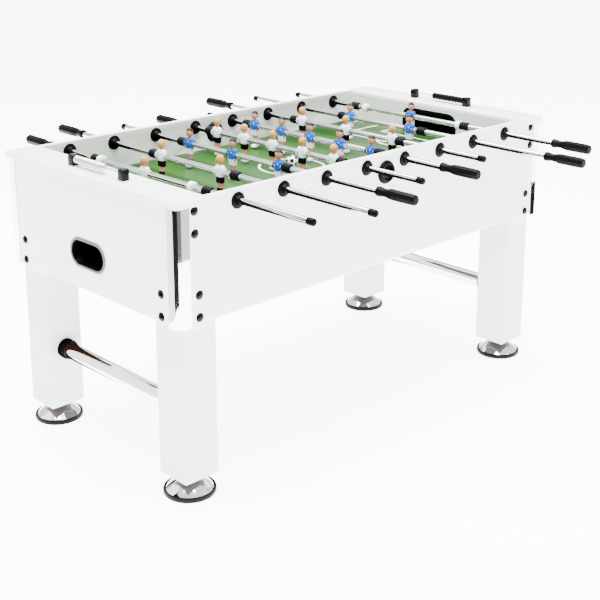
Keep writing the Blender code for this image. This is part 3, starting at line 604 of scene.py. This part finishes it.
# Nut and chromed dome of a foot, from the stem out to the pad: radius, height.
DOME = (
    (STEM_RADIUS, NUT_TOP),
    (0.0125, NUT_TOP),
    (0.0130, NUT_TOP - 0.0006),
    (0.0130, NUT_TOP - 0.0045),
    (0.0150, NUT_TOP - 0.0060),
    (0.0200, 0.0434),
    (0.0260, 0.0400),
    (0.0320, 0.0360),
    (0.0380, 0.0316),
    (0.0440, 0.0270),
    (0.0500, 0.0221),
    (0.0555, 0.0173),
    (0.0600, 0.0132),
    (0.0612, 0.0118),
    (0.0606, 0.0106),
    (0.0, 0.0105),
)
GUARD_BEND = 0.0165
GUARD_SKIN = 0.0012
GUARD_EDGE = 0.0003
# Domed bolt head on a washer: radius, height.
BOLT_HEAD = (
    (0.0, 0.0060),
    (0.0030, 0.0058),
    (0.0058, 0.0051),
    (0.0080, 0.0039),
    (0.0096, 0.0023),
    (0.0103, 0.0011),
    (0.0112, 0.0009),
    (0.0115, 0.0004),
    (0.0115, 0.0),
    (0.0, 0.0),
)
# Bolts of a corner: the axis they point along, their place along the board, their height.
BOLT_SPOTS = (
    ("Y", 0.648, 0.484),
    ("Y", 0.648, 0.540),
    ("Y", 0.658, 0.692),
    ("Y", 0.658, 0.747),
    ("X", 0.2975, 0.484),
    ("X", 0.2975, 0.540),
)

for corner in CORNERS:
    lo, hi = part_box(f"leg_{corner}")
    outline = [(lo[0], lo[1]), (hi[0], lo[1]), (hi[0], hi[1]), (lo[0], hi[1])]
    mesh = plate([outline], "Z", lo[2], hi[2], LEG_EDGE)
    for face in mesh.polygons:
        face.material_index = 1 if face.normal.z < -0.9 else 0
    placed(f"leg_{corner}", mesh, [LAMINATE, BOARD], "cabinet", [f"leg_{corner}"])

    at = middle_of(f"foot_{corner}")
    lo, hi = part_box(f"foot_{corner}")
    radius = (hi[0] - lo[0]) / 2
    body = f"foot_{corner}"
    dome = turned([(0.0, hi[2]), (STEM_RADIUS, hi[2]), *DOME], "Z", (at.x, at.y, 0), 64)
    placed(f"foot_{corner}_dome", dome, [CHROME], body, [body])
    rim = [(0.0, 0.0), (radius - 0.004, 0.0), (radius - 0.0012, 0.0010), (radius, 0.0032)]
    rim += [(radius, 0.0100), (radius - 0.0008, 0.0126), (radius - 0.0028, 0.0138)]
    rim += [(0.0625, 0.0138), (0.0614, 0.0128), (0.0610, 0.0104), (0.0, 0.0102)]
    placed(f"foot_{corner}_rim", turned(rim, "Z", (at.x, at.y, 0), 64), [RUBBER], body)

    lo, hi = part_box(f"corner_guard_{corner}")
    sx = 1 if hi[0] > 0 else -1
    sy = 1 if hi[1] > CENTRE_Y + 0.1 else -1
    out_x = max(abs(lo[0]), abs(hi[0]))
    in_x = min(abs(lo[0]), abs(hi[0]))
    out_y = max(abs(lo[1] - CENTRE_Y), abs(hi[1] - CENTRE_Y))
    in_y = min(abs(lo[1] - CENTRE_Y), abs(hi[1] - CENTRE_Y))
    outline = [(in_x, out_y - GUARD_SKIN), (in_x, out_y)]
    bend_x, bend_y = out_x - GUARD_BEND, out_y - GUARD_BEND
    outline += arc(bend_x, bend_y, GUARD_BEND, 90, 0, 24)
    outline += [(out_x, in_y), (out_x - GUARD_SKIN, in_y)]
    outline += arc(bend_x, bend_y, GUARD_BEND - GUARD_SKIN, 0, 90, 24)
    outline = [(sx * u, CENTRE_Y + sy * v) for u, v in outline]
    mesh = plate([outline], "Z", lo[2], hi[2], GUARD_EDGE)
    placed(f"corner_guard_{corner}", mesh, [CHROME], "cabinet", [f"corner_guard_{corner}"])

    # Bolt heads over the ends of the corner fixing.
    for number, (axis, along, z) in enumerate(BOLT_SPOTS, 1):
        if axis == "Y":
            place = (sx * along, CENTRE_Y + sy * HALF_W, z)
            out = sy
        else:
            place = (sx * HALF_L, CENTRE_Y + sy * along, z)
            out = sx
        points = [(r, out * h) for r, h in BOLT_HEAD]
        placed(f"bolt_{corner}_{number}", turned(points, axis, place, 32), [GLOSS], "cabinet")

# ---------------------------------------------------------------- stretchers
TUBE_RADIUS = 0.0225
TUBE_BORE = 0.0210
TUBE_INSET = 0.002
# End socket of a stretcher: radius, distance from the leg.
SOCKET = (
    (0.0227, 0.0),
    (0.0262, 0.0),
    (0.0272, 0.0008),
    (0.0275, 0.0020),
    (0.0275, 0.0190),
    (0.0268, 0.0222),
    (0.0250, 0.0238),
    (0.0227, 0.0240),
)
for end, side in ENDS:
    at = middle_of(f"stretcher_{end}")
    lo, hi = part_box(f"stretcher_{end}")
    reach = (hi[1] - lo[1]) / 2
    half = reach - TUBE_INSET
    section = [(TUBE_RADIUS, half), (TUBE_RADIUS, -half), (TUBE_BORE, -half), (TUBE_BORE, half)]
    tube = turned(section, "Y", at, 48)
    placed(f"stretcher_{end}", tube, [CHROME], "cabinet", [f"stretcher_{end}"])
    for where, sign in LONG_SIDES:
        socket = turned([(r, sign * (reach - h)) for r, h in SOCKET], "Y", at, 48)
        placed(f"stretcher_{end}_socket_{where}", socket, [BLACK], "cabinet")

# ---------------------------------------------------------------- bearings and ball entries
# Bearing: radius, height off the panel.
BEARING = (
    (0.0084, -0.0020),
    (0.0206, -0.0020),
    (0.0210, -0.0004),
    (0.0210, 0.0010),
    (0.0203, 0.0021),
    (0.0185, 0.0027),
    (0.0150, 0.0032),
    (0.0125, 0.0042),
    (0.0112, 0.0066),
    (0.0106, 0.0100),
    (0.0100, 0.0110),
    (0.0084, 0.0112),
)
# Ball entry cup on one face of a panel: radius, height off the panel.
ENTRY_CUP = (
    (0.0215, 0.0095),
    (0.0235, 0.0102),
    (0.0262, 0.0098),
    (0.0282, 0.0080),
    (0.0300, 0.0050),
    (0.0316, 0.0030),
    (0.0320, 0.0015),
    (0.0320, -0.0004),
    (0.0228, -0.0004),
)
for where, sign in LONG_SIDES:
    for number, stop, *_ in RODS:
        for face, toward in (("outer", 1), ("inner", -1)):
            base = sign * (HALF_W if toward > 0 else HALF_W - SIDE_THICK)
            points = [(r, sign * toward * h) for r, h in BEARING]
            mesh = turned(points, "Y", (stop.x, CENTRE_Y + base, ROD_Z), 40)
            placed(f"bearing_{where}_{number}_{face}", mesh, [BLACK], "cabinet")
    cup = []
    for face in (1, -1):
        base = HALF_W if face > 0 else HALF_W - SIDE_THICK
        points = [(r, sign * (base + face * h)) for r, h in ENTRY_CUP]
        cup += points if face > 0 else points[::-1]
    ring = turned(cup, "Y", (0, CENTRE_Y, ENTRY_Z), 64)
    placed(f"ball_entry_{where}", ring, [BLACK], "cabinet")


# ---------------------------------------------------------------- figures
STOP_HALF = (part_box("rod_1_stop")[1][1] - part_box("rod_1_stop")[0][1]) / 2
MAN_HALF = 0.0170
COLLAR_HALF = 0.008
BOSS_DEPTH = 0.0014

# Order of a figure's finishes.
SKIN_AT, HAIR_AT, SHIRT_AT, SHORTS_AT, SOCKS_AT, BOOTS_AT, BADGE_AT = range(7)

# Heights where a figure's paint changes.
BOOT_TOP = -0.0585
SOCK_TOP = -0.0430
SHORTS_HEM = -0.0300
SHIRT_HEM = -0.0130
NECKLINE = 0.0165
SLEEVE_HEM = -0.001


def dotted(bm, place, radius, around, paint_at, flatten=1.0):
    """A small painted bead on a figure, pressed flat along X."""
    at = Matrix.Translation(place)
    made = bmesh.ops.create_uvsphere(
        bm, u_segments=around, v_segments=6, radius=radius, matrix=at
    )
    for vert in made["verts"]:
        if flatten < 1.0:
            vert.co.x = place[0] + (vert.co.x - place[0]) * flatten
        for face in vert.link_faces:
            face.material_index = paint_at


def figure(name, team):
    """One moulded figure round the bar at the origin, looking along +X."""
    if team == "white":
        hair, shirt, shorts, socks, badge = BLOND, WHITE_KIT, BLACK_KIT, BLACK_KIT, BLACK_KIT
    else:
        hair, shirt, shorts, socks, badge = DARK_HAIR, BLUE_KIT, WHITE_KIT, BLUE_KIT, WHITE_KIT
    mats = [SKIN, hair, shirt, shorts, socks, WHITE_KIT, badge]
    bm = bmesh.new()

    def by_height(z, angle):
        if z < BOOT_TOP:
            return BOOTS_AT
        if z < SOCK_TOP:
            return SOCKS_AT
        if z < SHORTS_HEM:
            return SKIN_AT
        if z < SHIRT_HEM:
            return SHORTS_AT
        if z < NECKLINE:
            return SHIRT_AT
        return SKIN_AT

    for side in (-1, 1):
        leg = [
            (-0.0679, 0.0062, 0.0038, 0.0020, 0.0050),
            (-0.0672, 0.0095, 0.0043, 0.0025, 0.0050),
            (-0.0630, 0.0098, 0.0044, 0.0022, 0.0050),
            (-0.0600, 0.0072, 0.0042, 0.0004, 0.0048),
            (-0.0586, 0.0048, 0.0038, -0.0012, 0.0047),
            (-0.0584, 0.0047, 0.0038, -0.0012, 0.0047),
            (-0.0520, 0.0052, 0.0041, -0.0014, 0.0048),
            (-0.0460, 0.0056, 0.0044, -0.0013, 0.0049),
            (-0.0431, 0.0053, 0.0043, -0.0010, 0.0050),
            (-0.0429, 0.0050, 0.0041, -0.0010, 0.0050),
            (-0.0380, 0.0052, 0.0043, -0.0006, 0.0052),
            (-0.0301, 0.0060, 0.0050, -0.0004, 0.0056),
            (-0.0299, 0.0070, 0.0060, -0.0004, 0.0059),
            (-0.0200, 0.0078, 0.0064, -0.0002, 0.0060),
            (-0.0131, 0.0082, 0.0066, 0.0000, 0.0060),
        ]
        loft(bm, [(z, hx, hy, cx, side * cy) for z, hx, hy, cx, cy in leg], 16, by_height)
    torso = [
        (-0.0140, 0.0084, 0.0122, 0.0, 0.0),
        (-0.0129, 0.0088, 0.0126, 0.0, 0.0),
        (-0.0060, 0.0098, 0.0126, 0.0, 0.0),
        (0.0000, 0.0102, 0.0126, 0.0, 0.0),
        (0.0070, 0.0102, 0.0138, 0.0, 0.0),
        (0.0120, 0.0092, 0.0146, 0.0, 0.0),
        (0.0155, 0.0074, 0.0130, 0.0, 0.0),
        (0.0178, 0.0050, 0.0080, 0.0, 0.0),
    ]
    loft(bm, torso, 24, lambda z, angle: SHIRT_AT if z > SHIRT_HEM else SHORTS_AT, 2.8)
    neck = [(0.0150, 0.0042, 0.0046, 0, 0), (0.0215, 0.0040, 0.0044, 0, 0)]
    loft(bm, neck, 14, lambda z, angle: SKIN_AT, 2.0)
    for side in (-1, 1):
        arm = [
            (-0.0165, 0.0022, 0.0018, 0.0050, 0.0138),
            (-0.0135, 0.0034, 0.0026, 0.0046, 0.0140),
            (-0.0060, 0.0036, 0.0029, 0.0028, 0.0140),
            (-0.0011, 0.0038, 0.0031, 0.0014, 0.0138),
            (-0.0009, 0.0048, 0.0036, 0.0012, 0.0134),
            (0.0060, 0.0050, 0.0040, 0.0006, 0.0130),
            (0.0115, 0.0047, 0.0040, 0.0002, 0.0126),
            (0.0150, 0.0034, 0.0030, 0.0000, 0.0118),
            (0.0166, 0.0014, 0.0012, 0.0000, 0.0110),
        ]
        arm = [(z, hx, hy, cx, side * min(cy, MAN_HALF - hy)) for z, hx, hy, cx, cy in arm]
        loft(bm, arm, 12, lambda z, angle: SHIRT_AT if z > SLEEVE_HEM else SKIN_AT, 2.0)
    head = []
    count = 14
    for i in range(count + 1):
        t = math.pi * i / count
        size = max(0.0006, math.sin(t) ** 0.85)
        head.append((0.0325 - 0.0125 * math.cos(t), 0.0112 * size, 0.0106 * size, 0.0, 0.0))

    def head_paint(z, angle):
        """Hair over the crown and down the back of the head, to the neck."""
        front = math.cos(angle)
        if front > 0.35:
            hairline = 0.0385
        elif front > -0.35:
            hairline = 0.0345
        else:
            hairline = 0.0265
        return HAIR_AT if z > hairline else SKIN_AT

    loft(bm, head, 24, head_paint, 2.1)
    for eye in ((0.0104, 0.0032, 0.0338), (0.0104, -0.0032, 0.0338)):
        dotted(bm, eye, 0.0011, 8, SOCKS_AT if team == "white" else HAIR_AT)
    for spot in ((0.0099, 0.0045, 0.0065), (-0.0099, 0.0, 0.0050)):
        dotted(bm, spot, 0.0019, 10, BADGE_AT, flatten=0.3)
    bmesh.ops.recalc_face_normals(bm, faces=bm.faces)
    mesh = bpy.data.meshes.new(name)
    bm.to_mesh(mesh)
    bm.free()
    return mesh, mats


FIGURES = {team: figure(f"figure_{team}", team) for team in ("white", "blue")}
TEAMS = ("white", "white", "blue", "white", "blue", "white", "blue", "blue")
PLAYERS = (1, 2, 3, 5, 5, 3, 2, 1)


def ribbed(half):
    """Rubber stop: three rounded rings on a thinner core."""
    points = [(0.0083, half), (0.0108, half)]
    width = half * 2 / 3
    for ring in range(3):
        high = half - ring * width
        for i in range(9):
            t = i / 8
            bulge = math.sin(math.pi * t) ** 0.6
            points.append((0.0100 + 0.0028 * bulge, high - width * (0.04 + 0.92 * t)))
    points += [(0.0108, -half), (0.0083, -half)]
    return points


FLUTE_START = 0.024
FLUTE_FADE = 0.022
GRIP_INSET = 0.0425  # the bar ends this far inside the grip's end
GRIP_BORE = 0.0083
BORE_DEPTH = 0.042
BAR_EDGE = 0.0006
# Neck and swell of a grip, from its inner end: radius, distance.
GRIP_NECK = (
    (GRIP_BORE, 0.0),
    (0.0112, 0.0),
    (0.0124, 0.0010),
    (0.0127, 0.0035),
    (0.0126, 0.0075),
    (0.0118, 0.0120),
    (0.0107, 0.0175),
    (0.0102, 0.0230),
    (0.0106, 0.0290),
    (0.0118, 0.0350),
    (0.0134, 0.0410),
    (0.0143, 0.0460),
    (0.0145, 0.0520),
    (0.0145, 0.0800),
)
# Side boss of a figure: radius, height.
BOSS = ((0.0, 0.0), (0.0104, 0.0), (0.0110, 0.0005), (0.0110, 0.0012), (0.0, BOSS_DEPTH))
# Collar beside a goalkeeper: radius, height.
COLLAR = (
    (0.0080, COLLAR_HALF),
    (0.0118, COLLAR_HALF),
    (0.0135, 0.0064),
    (0.0135, -0.0064),
    (0.0118, -COLLAR_HALF),
    (0.0080, -COLLAR_HALF),
)
# End cap of a bar, back from its end: radius, distance.
END_CAP = (
    (0.0, 0.0),
    (0.0050, 0.0),
    (0.0074, -0.0008),
    (0.0088, -0.0026),
    (0.0093, -0.0056),
    (0.0093, -0.0195),
    (0.0089, -0.0214),
    (0.0081, -0.0220),
    (0.0, -0.0220),
)


def grip_flute(angle, height):
    """Eight crisp flats on the body that fade out towards the round neck."""
    blend = min(1.0, max(0.0, (height - FLUTE_START) / FLUTE_FADE))
    turn = (angle % (math.pi / 4)) - math.pi / 8
    flat = math.cos(math.pi / 8) / math.cos(turn)
    return 1.0 + blend * (flat - 1.0)


for number, stop, bar_lo, bar_hi, grip_lo, grip_hi in RODS:
    team = TEAMS[number - 1]
    count = PLAYERS[number - 1]
    body = f"rod_{number}"
    grip_side = 1 if grip_hi[1] > bar_hi[1] else -1
    grip_end = grip_hi[1] if grip_side > 0 else grip_lo[1]
    cap_end = bar_lo[1] if grip_side > 0 else bar_hi[1]
    start = grip_end - grip_side * GRIP_INSET
    x = stop.x

    edge = abs(stop.y - CENTRE_Y) - STOP_HALF - GAP - GRIP_BARE.get(number, 0.0)
    half = COLLAR_HALF if count == 1 else MAN_HALF
    outermost = edge - half
    y0, y1 = sorted((start, cap_end + grip_side * 0.004))
    bar = [(0.0, y1), (BAR_RADIUS - BAR_EDGE, y1), (BAR_RADIUS, y1 - BAR_EDGE)]
    bar += [(BAR_RADIUS, y0 + BAR_EDGE), (BAR_RADIUS - BAR_EDGE, y0), (0.0, y0)]
    placed(f"rod_{number}_bar", turned(bar, "Y", (x, 0, ROD_Z), 32), [BAR], body, [body])

    mesh, mats = FIGURES[team]
    ys = [0.0]
    if count > 1:
        ys = [outermost - 2 * outermost * i / (count - 1) for i in range(count)]
    facing = Matrix.Identity(4) if team == "white" else Matrix.Rotation(math.pi, 4, "Z")
    for man, y in enumerate(ys, 1):
        own = mesh.copy()
        own.transform(Matrix.Translation((x, CENTRE_Y + y, ROD_Z)) @ facing)
        placed(f"figure_{number}_{man}", own, mats, body, smooth=50.0)
        for where, sign in (("near", -1), ("far", 1)):
            points = [(r, sign * (MAN_HALF - BOSS_DEPTH + h)) for r, h in BOSS]
            boss = turned(points, "Y", (x, CENTRE_Y + y, ROD_Z), 24)
            placed(f"figure_{number}_{man}_boss_{where}", boss, [mats[SHIRT_AT]], body)
    if count == 1:
        for where, y in (("near", -outermost), ("far", outermost)):
            collar = turned(COLLAR, "Y", (x, CENTRE_Y + y, ROD_Z), 32)
            placed(f"rod_{number}_collar_{where}", collar, [WHITE_KIT], body)
    cap_side_y = CENTRE_Y - grip_side * (edge + CAP_BARE.get(number, 0.0) + STOP_HALF)
    fixed = turned(ribbed(STOP_HALF), "Y", (x, cap_side_y, ROD_Z), 32)
    placed(f"rod_{number}_stop_fixed", fixed, [RUBBER], body)
    loose = turned(ribbed(STOP_HALF), "Y", (x, stop.y, ROD_Z), 32)
    slider = f"rod_{number}_slider"
    placed(f"rod_{number}_stop_loose", loose, [RUBBER], slider, [f"rod_{number}_stop"])

    points = [(r, cap_end - grip_side * h) for r, h in END_CAP]
    placed(f"rod_{number}_cap", turned(points, "Y", (x, 0, ROD_Z), 32), [BLACK], body)

    length = grip_hi[1] - grip_lo[1]
    near = grip_end - grip_side * length
    shape = [*GRIP_NECK, (0.0145, length - 0.0120), (0.0141, length - 0.0060)]
    shape += [(0.0130, length - 0.0022), (0.0108, length - 0.0003), (0.0070, length)]
    shape += [(0.0, length), (0.0, length - BORE_DEPTH), (GRIP_BORE, length - BORE_DEPTH)]
    mesh = turned(shape, "Y", (0, 0, 0), 48, grip_flute)
    flip = Matrix.Identity(4) if grip_side > 0 else Matrix.Rotation(math.pi, 4, "X")
    mesh.transform(Matrix.Translation((x, near, ROD_Z)) @ flip)
    placed(f"rod_{number}_grip", mesh, [BLACK], body, [f"rod_{number}_grip"], smooth=22.0)

# ---------------------------------------------------------------- ball
PATCH_SPREAD = math.cos(math.radians(20))  # each black patch reaches 20 degrees round its middle
ball_at = middle_of("ball")
ball_lo, ball_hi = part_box("ball")
bm = bmesh.new()
bmesh.ops.create_icosphere(bm, subdivisions=5, radius=(ball_hi[2] - ball_lo[2]) / 2)
golden = (1 + math.sqrt(5)) / 2
patches = []
for a in (-1, 1):
    for b in (-golden, golden):
        patches += [Vector((0, a, b)), Vector((a, b, 0)), Vector((b, 0, a))]
tilt = Matrix.Rotation(0.4, 3, "X") @ Matrix.Rotation(0.7, 3, "Z")
patches = [(tilt @ p).normalized() for p in patches]
for face in bm.faces:
    out = face.calc_center_median().normalized()
    if max(out.dot(p) for p in patches) > PATCH_SPREAD:
        face.material_index = 1
bmesh.ops.translate(bm, verts=bm.verts, vec=ball_at)
placed("ball", to_mesh(bm), [BALL_WHITE, BLACK_KIT], "ball", ["ball"], smooth=180.0)

# ---------------------------------------------------------------- score counters
BEAD_COUNT = 10
BEAD_GAP = 0.0001
BEAD_BORE = 0.0028
WIRE_RADIUS = 0.0022
POST_ROUND = 0.006
POST_SIDE = 0.001
POST_BEVEL = 0.0015
for end, side in ENDS:
    lo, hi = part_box(f"scorer_{end}")
    x = (lo[0] + hi[0]) / 2
    size = hi[0] - lo[0]
    base, top = lo[2], hi[2]
    for number, (y, sign) in enumerate(((lo[1], 1), (hi[1], -1)), 1):
        outline = [(y, base), (y + sign * size, base)]
        bend = POST_ROUND
        outline += arc(y + sign * (size - bend), top - bend, bend, 0 if sign > 0 else 180, 90, 6)
        outline += arc(y + sign * bend, top - bend, bend, 90, 180 if sign > 0 else 0, 6)
        mesh = plate(
            [outline], "X", x - size / 2 + POST_SIDE, x + size / 2 - POST_SIDE, POST_BEVEL
        )
        stands = [f"scorer_{end}"] if number == 1 else []
        placed(f"scorer_{end}_post_{number}", mesh, [GLOSS], "cabinet", stands)
    bead_lo, bead_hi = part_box(f"score_beads_{end}")
    wire_z = (bead_lo[2] + bead_hi[2]) / 2
    reach = (hi[1] - lo[1]) / 2 - size / 2
    section = [(0.0, reach), (WIRE_RADIUS, reach), (WIRE_RADIUS, -reach), (0.0, -reach)]
    wire = turned(section, "Y", (x, CENTRE_Y, wire_z), 16)
    placed(f"scorer_{end}_wire", wire, [BAR], "cabinet")
    pitch = (bead_hi[1] - bead_lo[1]) / BEAD_COUNT
    radius = (bead_hi[2] - bead_lo[2]) / 2
    for number in range(BEAD_COUNT):
        y = bead_lo[1] + pitch * (number + 0.5)
        half = pitch / 2 - BEAD_GAP
        shape = [(BEAD_BORE, half), (radius * 0.62, half), (radius * 0.80, half * 0.86)]
        shape += [(radius * 0.93, half * 0.58), (radius, half * 0.18), (radius, -half * 0.18)]
        shape += [(radius * 0.93, -half * 0.58), (radius * 0.80, -half * 0.86)]
        shape += [(radius * 0.62, -half), (BEAD_BORE, -half)]
        mesh = turned(shape, "Y", (x, y, wire_z), 28)
        stands = [f"score_beads_{end}"] if number == 0 else []
        mat = BEAD_PALE if side < 0 else BEAD_DARK
        placed(f"bead_{end}_{number + 1}", mesh, [mat], f"score_beads_{end}", stands)

# ---------------------------------------------------------------- stage, light and camera
FLOOR_GLOW = 7.5
FLOOR_SPAN = 30.0
SKY_GLOW = 1.7
WHITE = (1.0, 1.0, 1.0, 1.0)
floor_mat = finish("floor", (0.86, 0.86, 0.86), 0.8, grain=8, vary=0.005, gloss=0.1)
floor_shader = floor_mat.node_tree.nodes["Principled BSDF"]
floor_shader.inputs["Emission Color"].default_value = WHITE
floor_shader.inputs["Emission Strength"].default_value = FLOOR_GLOW
bm = bmesh.new()
bmesh.ops.create_grid(bm, x_segments=1, y_segments=1, size=FLOOR_SPAN)
floor_mesh = to_mesh(bm)
floor_mesh.materials.append(floor_mat)
floor = bpy.data.objects.new("floor", floor_mesh)
bpy.context.scene.collection.objects.link(floor)

world = bpy.data.worlds.new("studio")
world.use_nodes = True
world.node_tree.nodes["Background"].inputs["Color"].default_value = WHITE
world.node_tree.nodes["Background"].inputs["Strength"].default_value = SKY_GLOW
bpy.context.scene.world = world


def softbox(name, place, target, size, power):
    """Rectangular area light that looks at a point."""
    light = bpy.data.lights.new(name, "AREA")
    light.energy = power
    light.shape = "RECTANGLE"
    light.size, light.size_y = size
    lamp = bpy.data.objects.new(name, light)
    lamp.location = place
    direction = Vector(target) - Vector(place)
    lamp.rotation_euler = direction.to_track_quat("-Z", "Y").to_euler()
    bpy.context.scene.collection.objects.link(lamp)


softbox("top", (-0.2, 0.2, 3.4), (0, 0, 0.6), (3.4, 2.6), 800)
softbox("key", (1.2, -3.4, 2.6), (0, 0, 0.5), (2.4, 2.0), 90)


FLAG = finish("flag", (0.002, 0.002, 0.002), 0.9, gloss=0.0)
FLAG_LIGHT = finish("flag_light", (0.45, 0.45, 0.46), 0.9, gloss=0.0)
FLAG_GREY = finish("flag_grey", (0.22, 0.21, 0.22), 0.9, gloss=0.0)
FLAG_MID = finish("flag_mid", (0.035, 0.035, 0.038), 0.9, gloss=0.0)
FLAG_BROWN = finish("flag_brown", (0.010, 0.004, 0.002), 0.9, gloss=0.0)


def flag(name, sheets, mat):
    """Upright cards for the chrome to mirror, each over two floor points between two heights.

    They are studio flags, so the camera, the soft light and the shadows pass them by.
    """
    bm = bmesh.new()
    for (x0, y0), (x1, y1), z0, z1 in sheets:
        edge = ((x0, y0, z0), (x1, y1, z0), (x1, y1, z1), (x0, y0, z1))
        bm.faces.new([bm.verts.new(v) for v in edge])
    mesh = bpy.data.meshes.new(name)
    bm.to_mesh(mesh)
    bm.free()
    mesh.materials.append(mat)
    made = bpy.data.objects.new(name, mesh)
    bpy.context.scene.collection.objects.link(made)
    made.visible_camera = False
    made.visible_diffuse = False
    made.visible_shadow = False
    made.visible_transmission = False


def round_flag(name, centre, radius, start, end, z0, z1, mat):
    """Flag bent round a point, between two compass angles."""
    points = arc(centre[0], centre[1], radius, start, end, 12)
    flag(name, [(a, b, z0, z1) for a, b in zip(points, points[1:])], mat)


FLAG_GAP = 0.0012
RIM_CLEAR = 0.006
FRONT_FACE = CENTRE_Y - HALF_W - FLAG_GAP
flag(
    "flag_front_panel",
    [((-0.66, FRONT_FACE), (0.66, FRONT_FACE), PANEL_BOTTOM + 0.01, TOP - RIM_CLEAR)],
    FLAG,
)
BACK_FACE = CENTRE_Y + HALF_W - SIDE_THICK - FLAG_GAP
flag(
    "flag_back_panel",
    [((-0.60, BACK_FACE), (0.60, BACK_FACE), FIELD_TOP + 0.004, TOP - RIM_CLEAR)],
    FLAG,
)
GUARD_LEFT = (-HALF_L, CENTRE_Y - HALF_W)
FLAG_REACH = 0.9
round_flag("flag_guard_left", GUARD_LEFT, FLAG_REACH, 136, 226, -0.2, 1.1, FLAG)
round_flag("flag_guard_edge", GUARD_LEFT, FLAG_REACH, 98, 136, -0.2, 1.1, FLAG_LIGHT)
round_flag("flag_guard_turn", GUARD_LEFT, FLAG_REACH, 226, 286, 0.36, 1.1, FLAG_MID)
round_flag("flag_guard_near", GUARD_LEFT, FLAG_REACH, 286, 322, 0.36, 1.1, FLAG_GREY)
GUARD_RIGHT = (HALF_L, CENTRE_Y - HALF_W)
round_flag("flag_guard_right", GUARD_RIGHT, FLAG_REACH, 320, 345, -0.3, 0.30, FLAG)
SLEEVE_GAP = 0.001
SLEEVE_TOP = 0.44
for corner in CORNERS:
    lo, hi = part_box(f"leg_{corner}")
    x0, x1 = lo[0] - SLEEVE_GAP, hi[0] + SLEEVE_GAP
    y0, y1 = lo[1] - SLEEVE_GAP, hi[1] + SLEEVE_GAP
    ring = [(x0, y0), (x1, y0), (x1, y1), (x0, y1), (x0, y0)]
    sides = [(a, b, lo[2] + 0.0005, SLEEVE_TOP) for a, b in zip(ring, ring[1:])]
    flag(f"flag_{corner}", sides, FLAG_BROWN)

CAMERA_AT = (-2.2908, -2.3506, 1.4995)
CAMERA_YAW = 45.875
CAMERA_PITCH = 14.658
CAMERA_LENS = 70.70
CAMERA_SHIFT = -0.2
lens_data = bpy.data.cameras.new("camera")
lens_data.sensor_width = 36.0
lens_data.lens = CAMERA_LENS
lens_data.shift_y = CAMERA_SHIFT
camera = bpy.data.objects.new("camera", lens_data)
camera.location = CAMERA_AT
camera.rotation_euler = (
    math.radians(90 - CAMERA_PITCH),
    0.0,
    math.radians(CAMERA_YAW - 90),
)
bpy.context.scene.collection.objects.link(camera)
bpy.context.scene.camera = camera
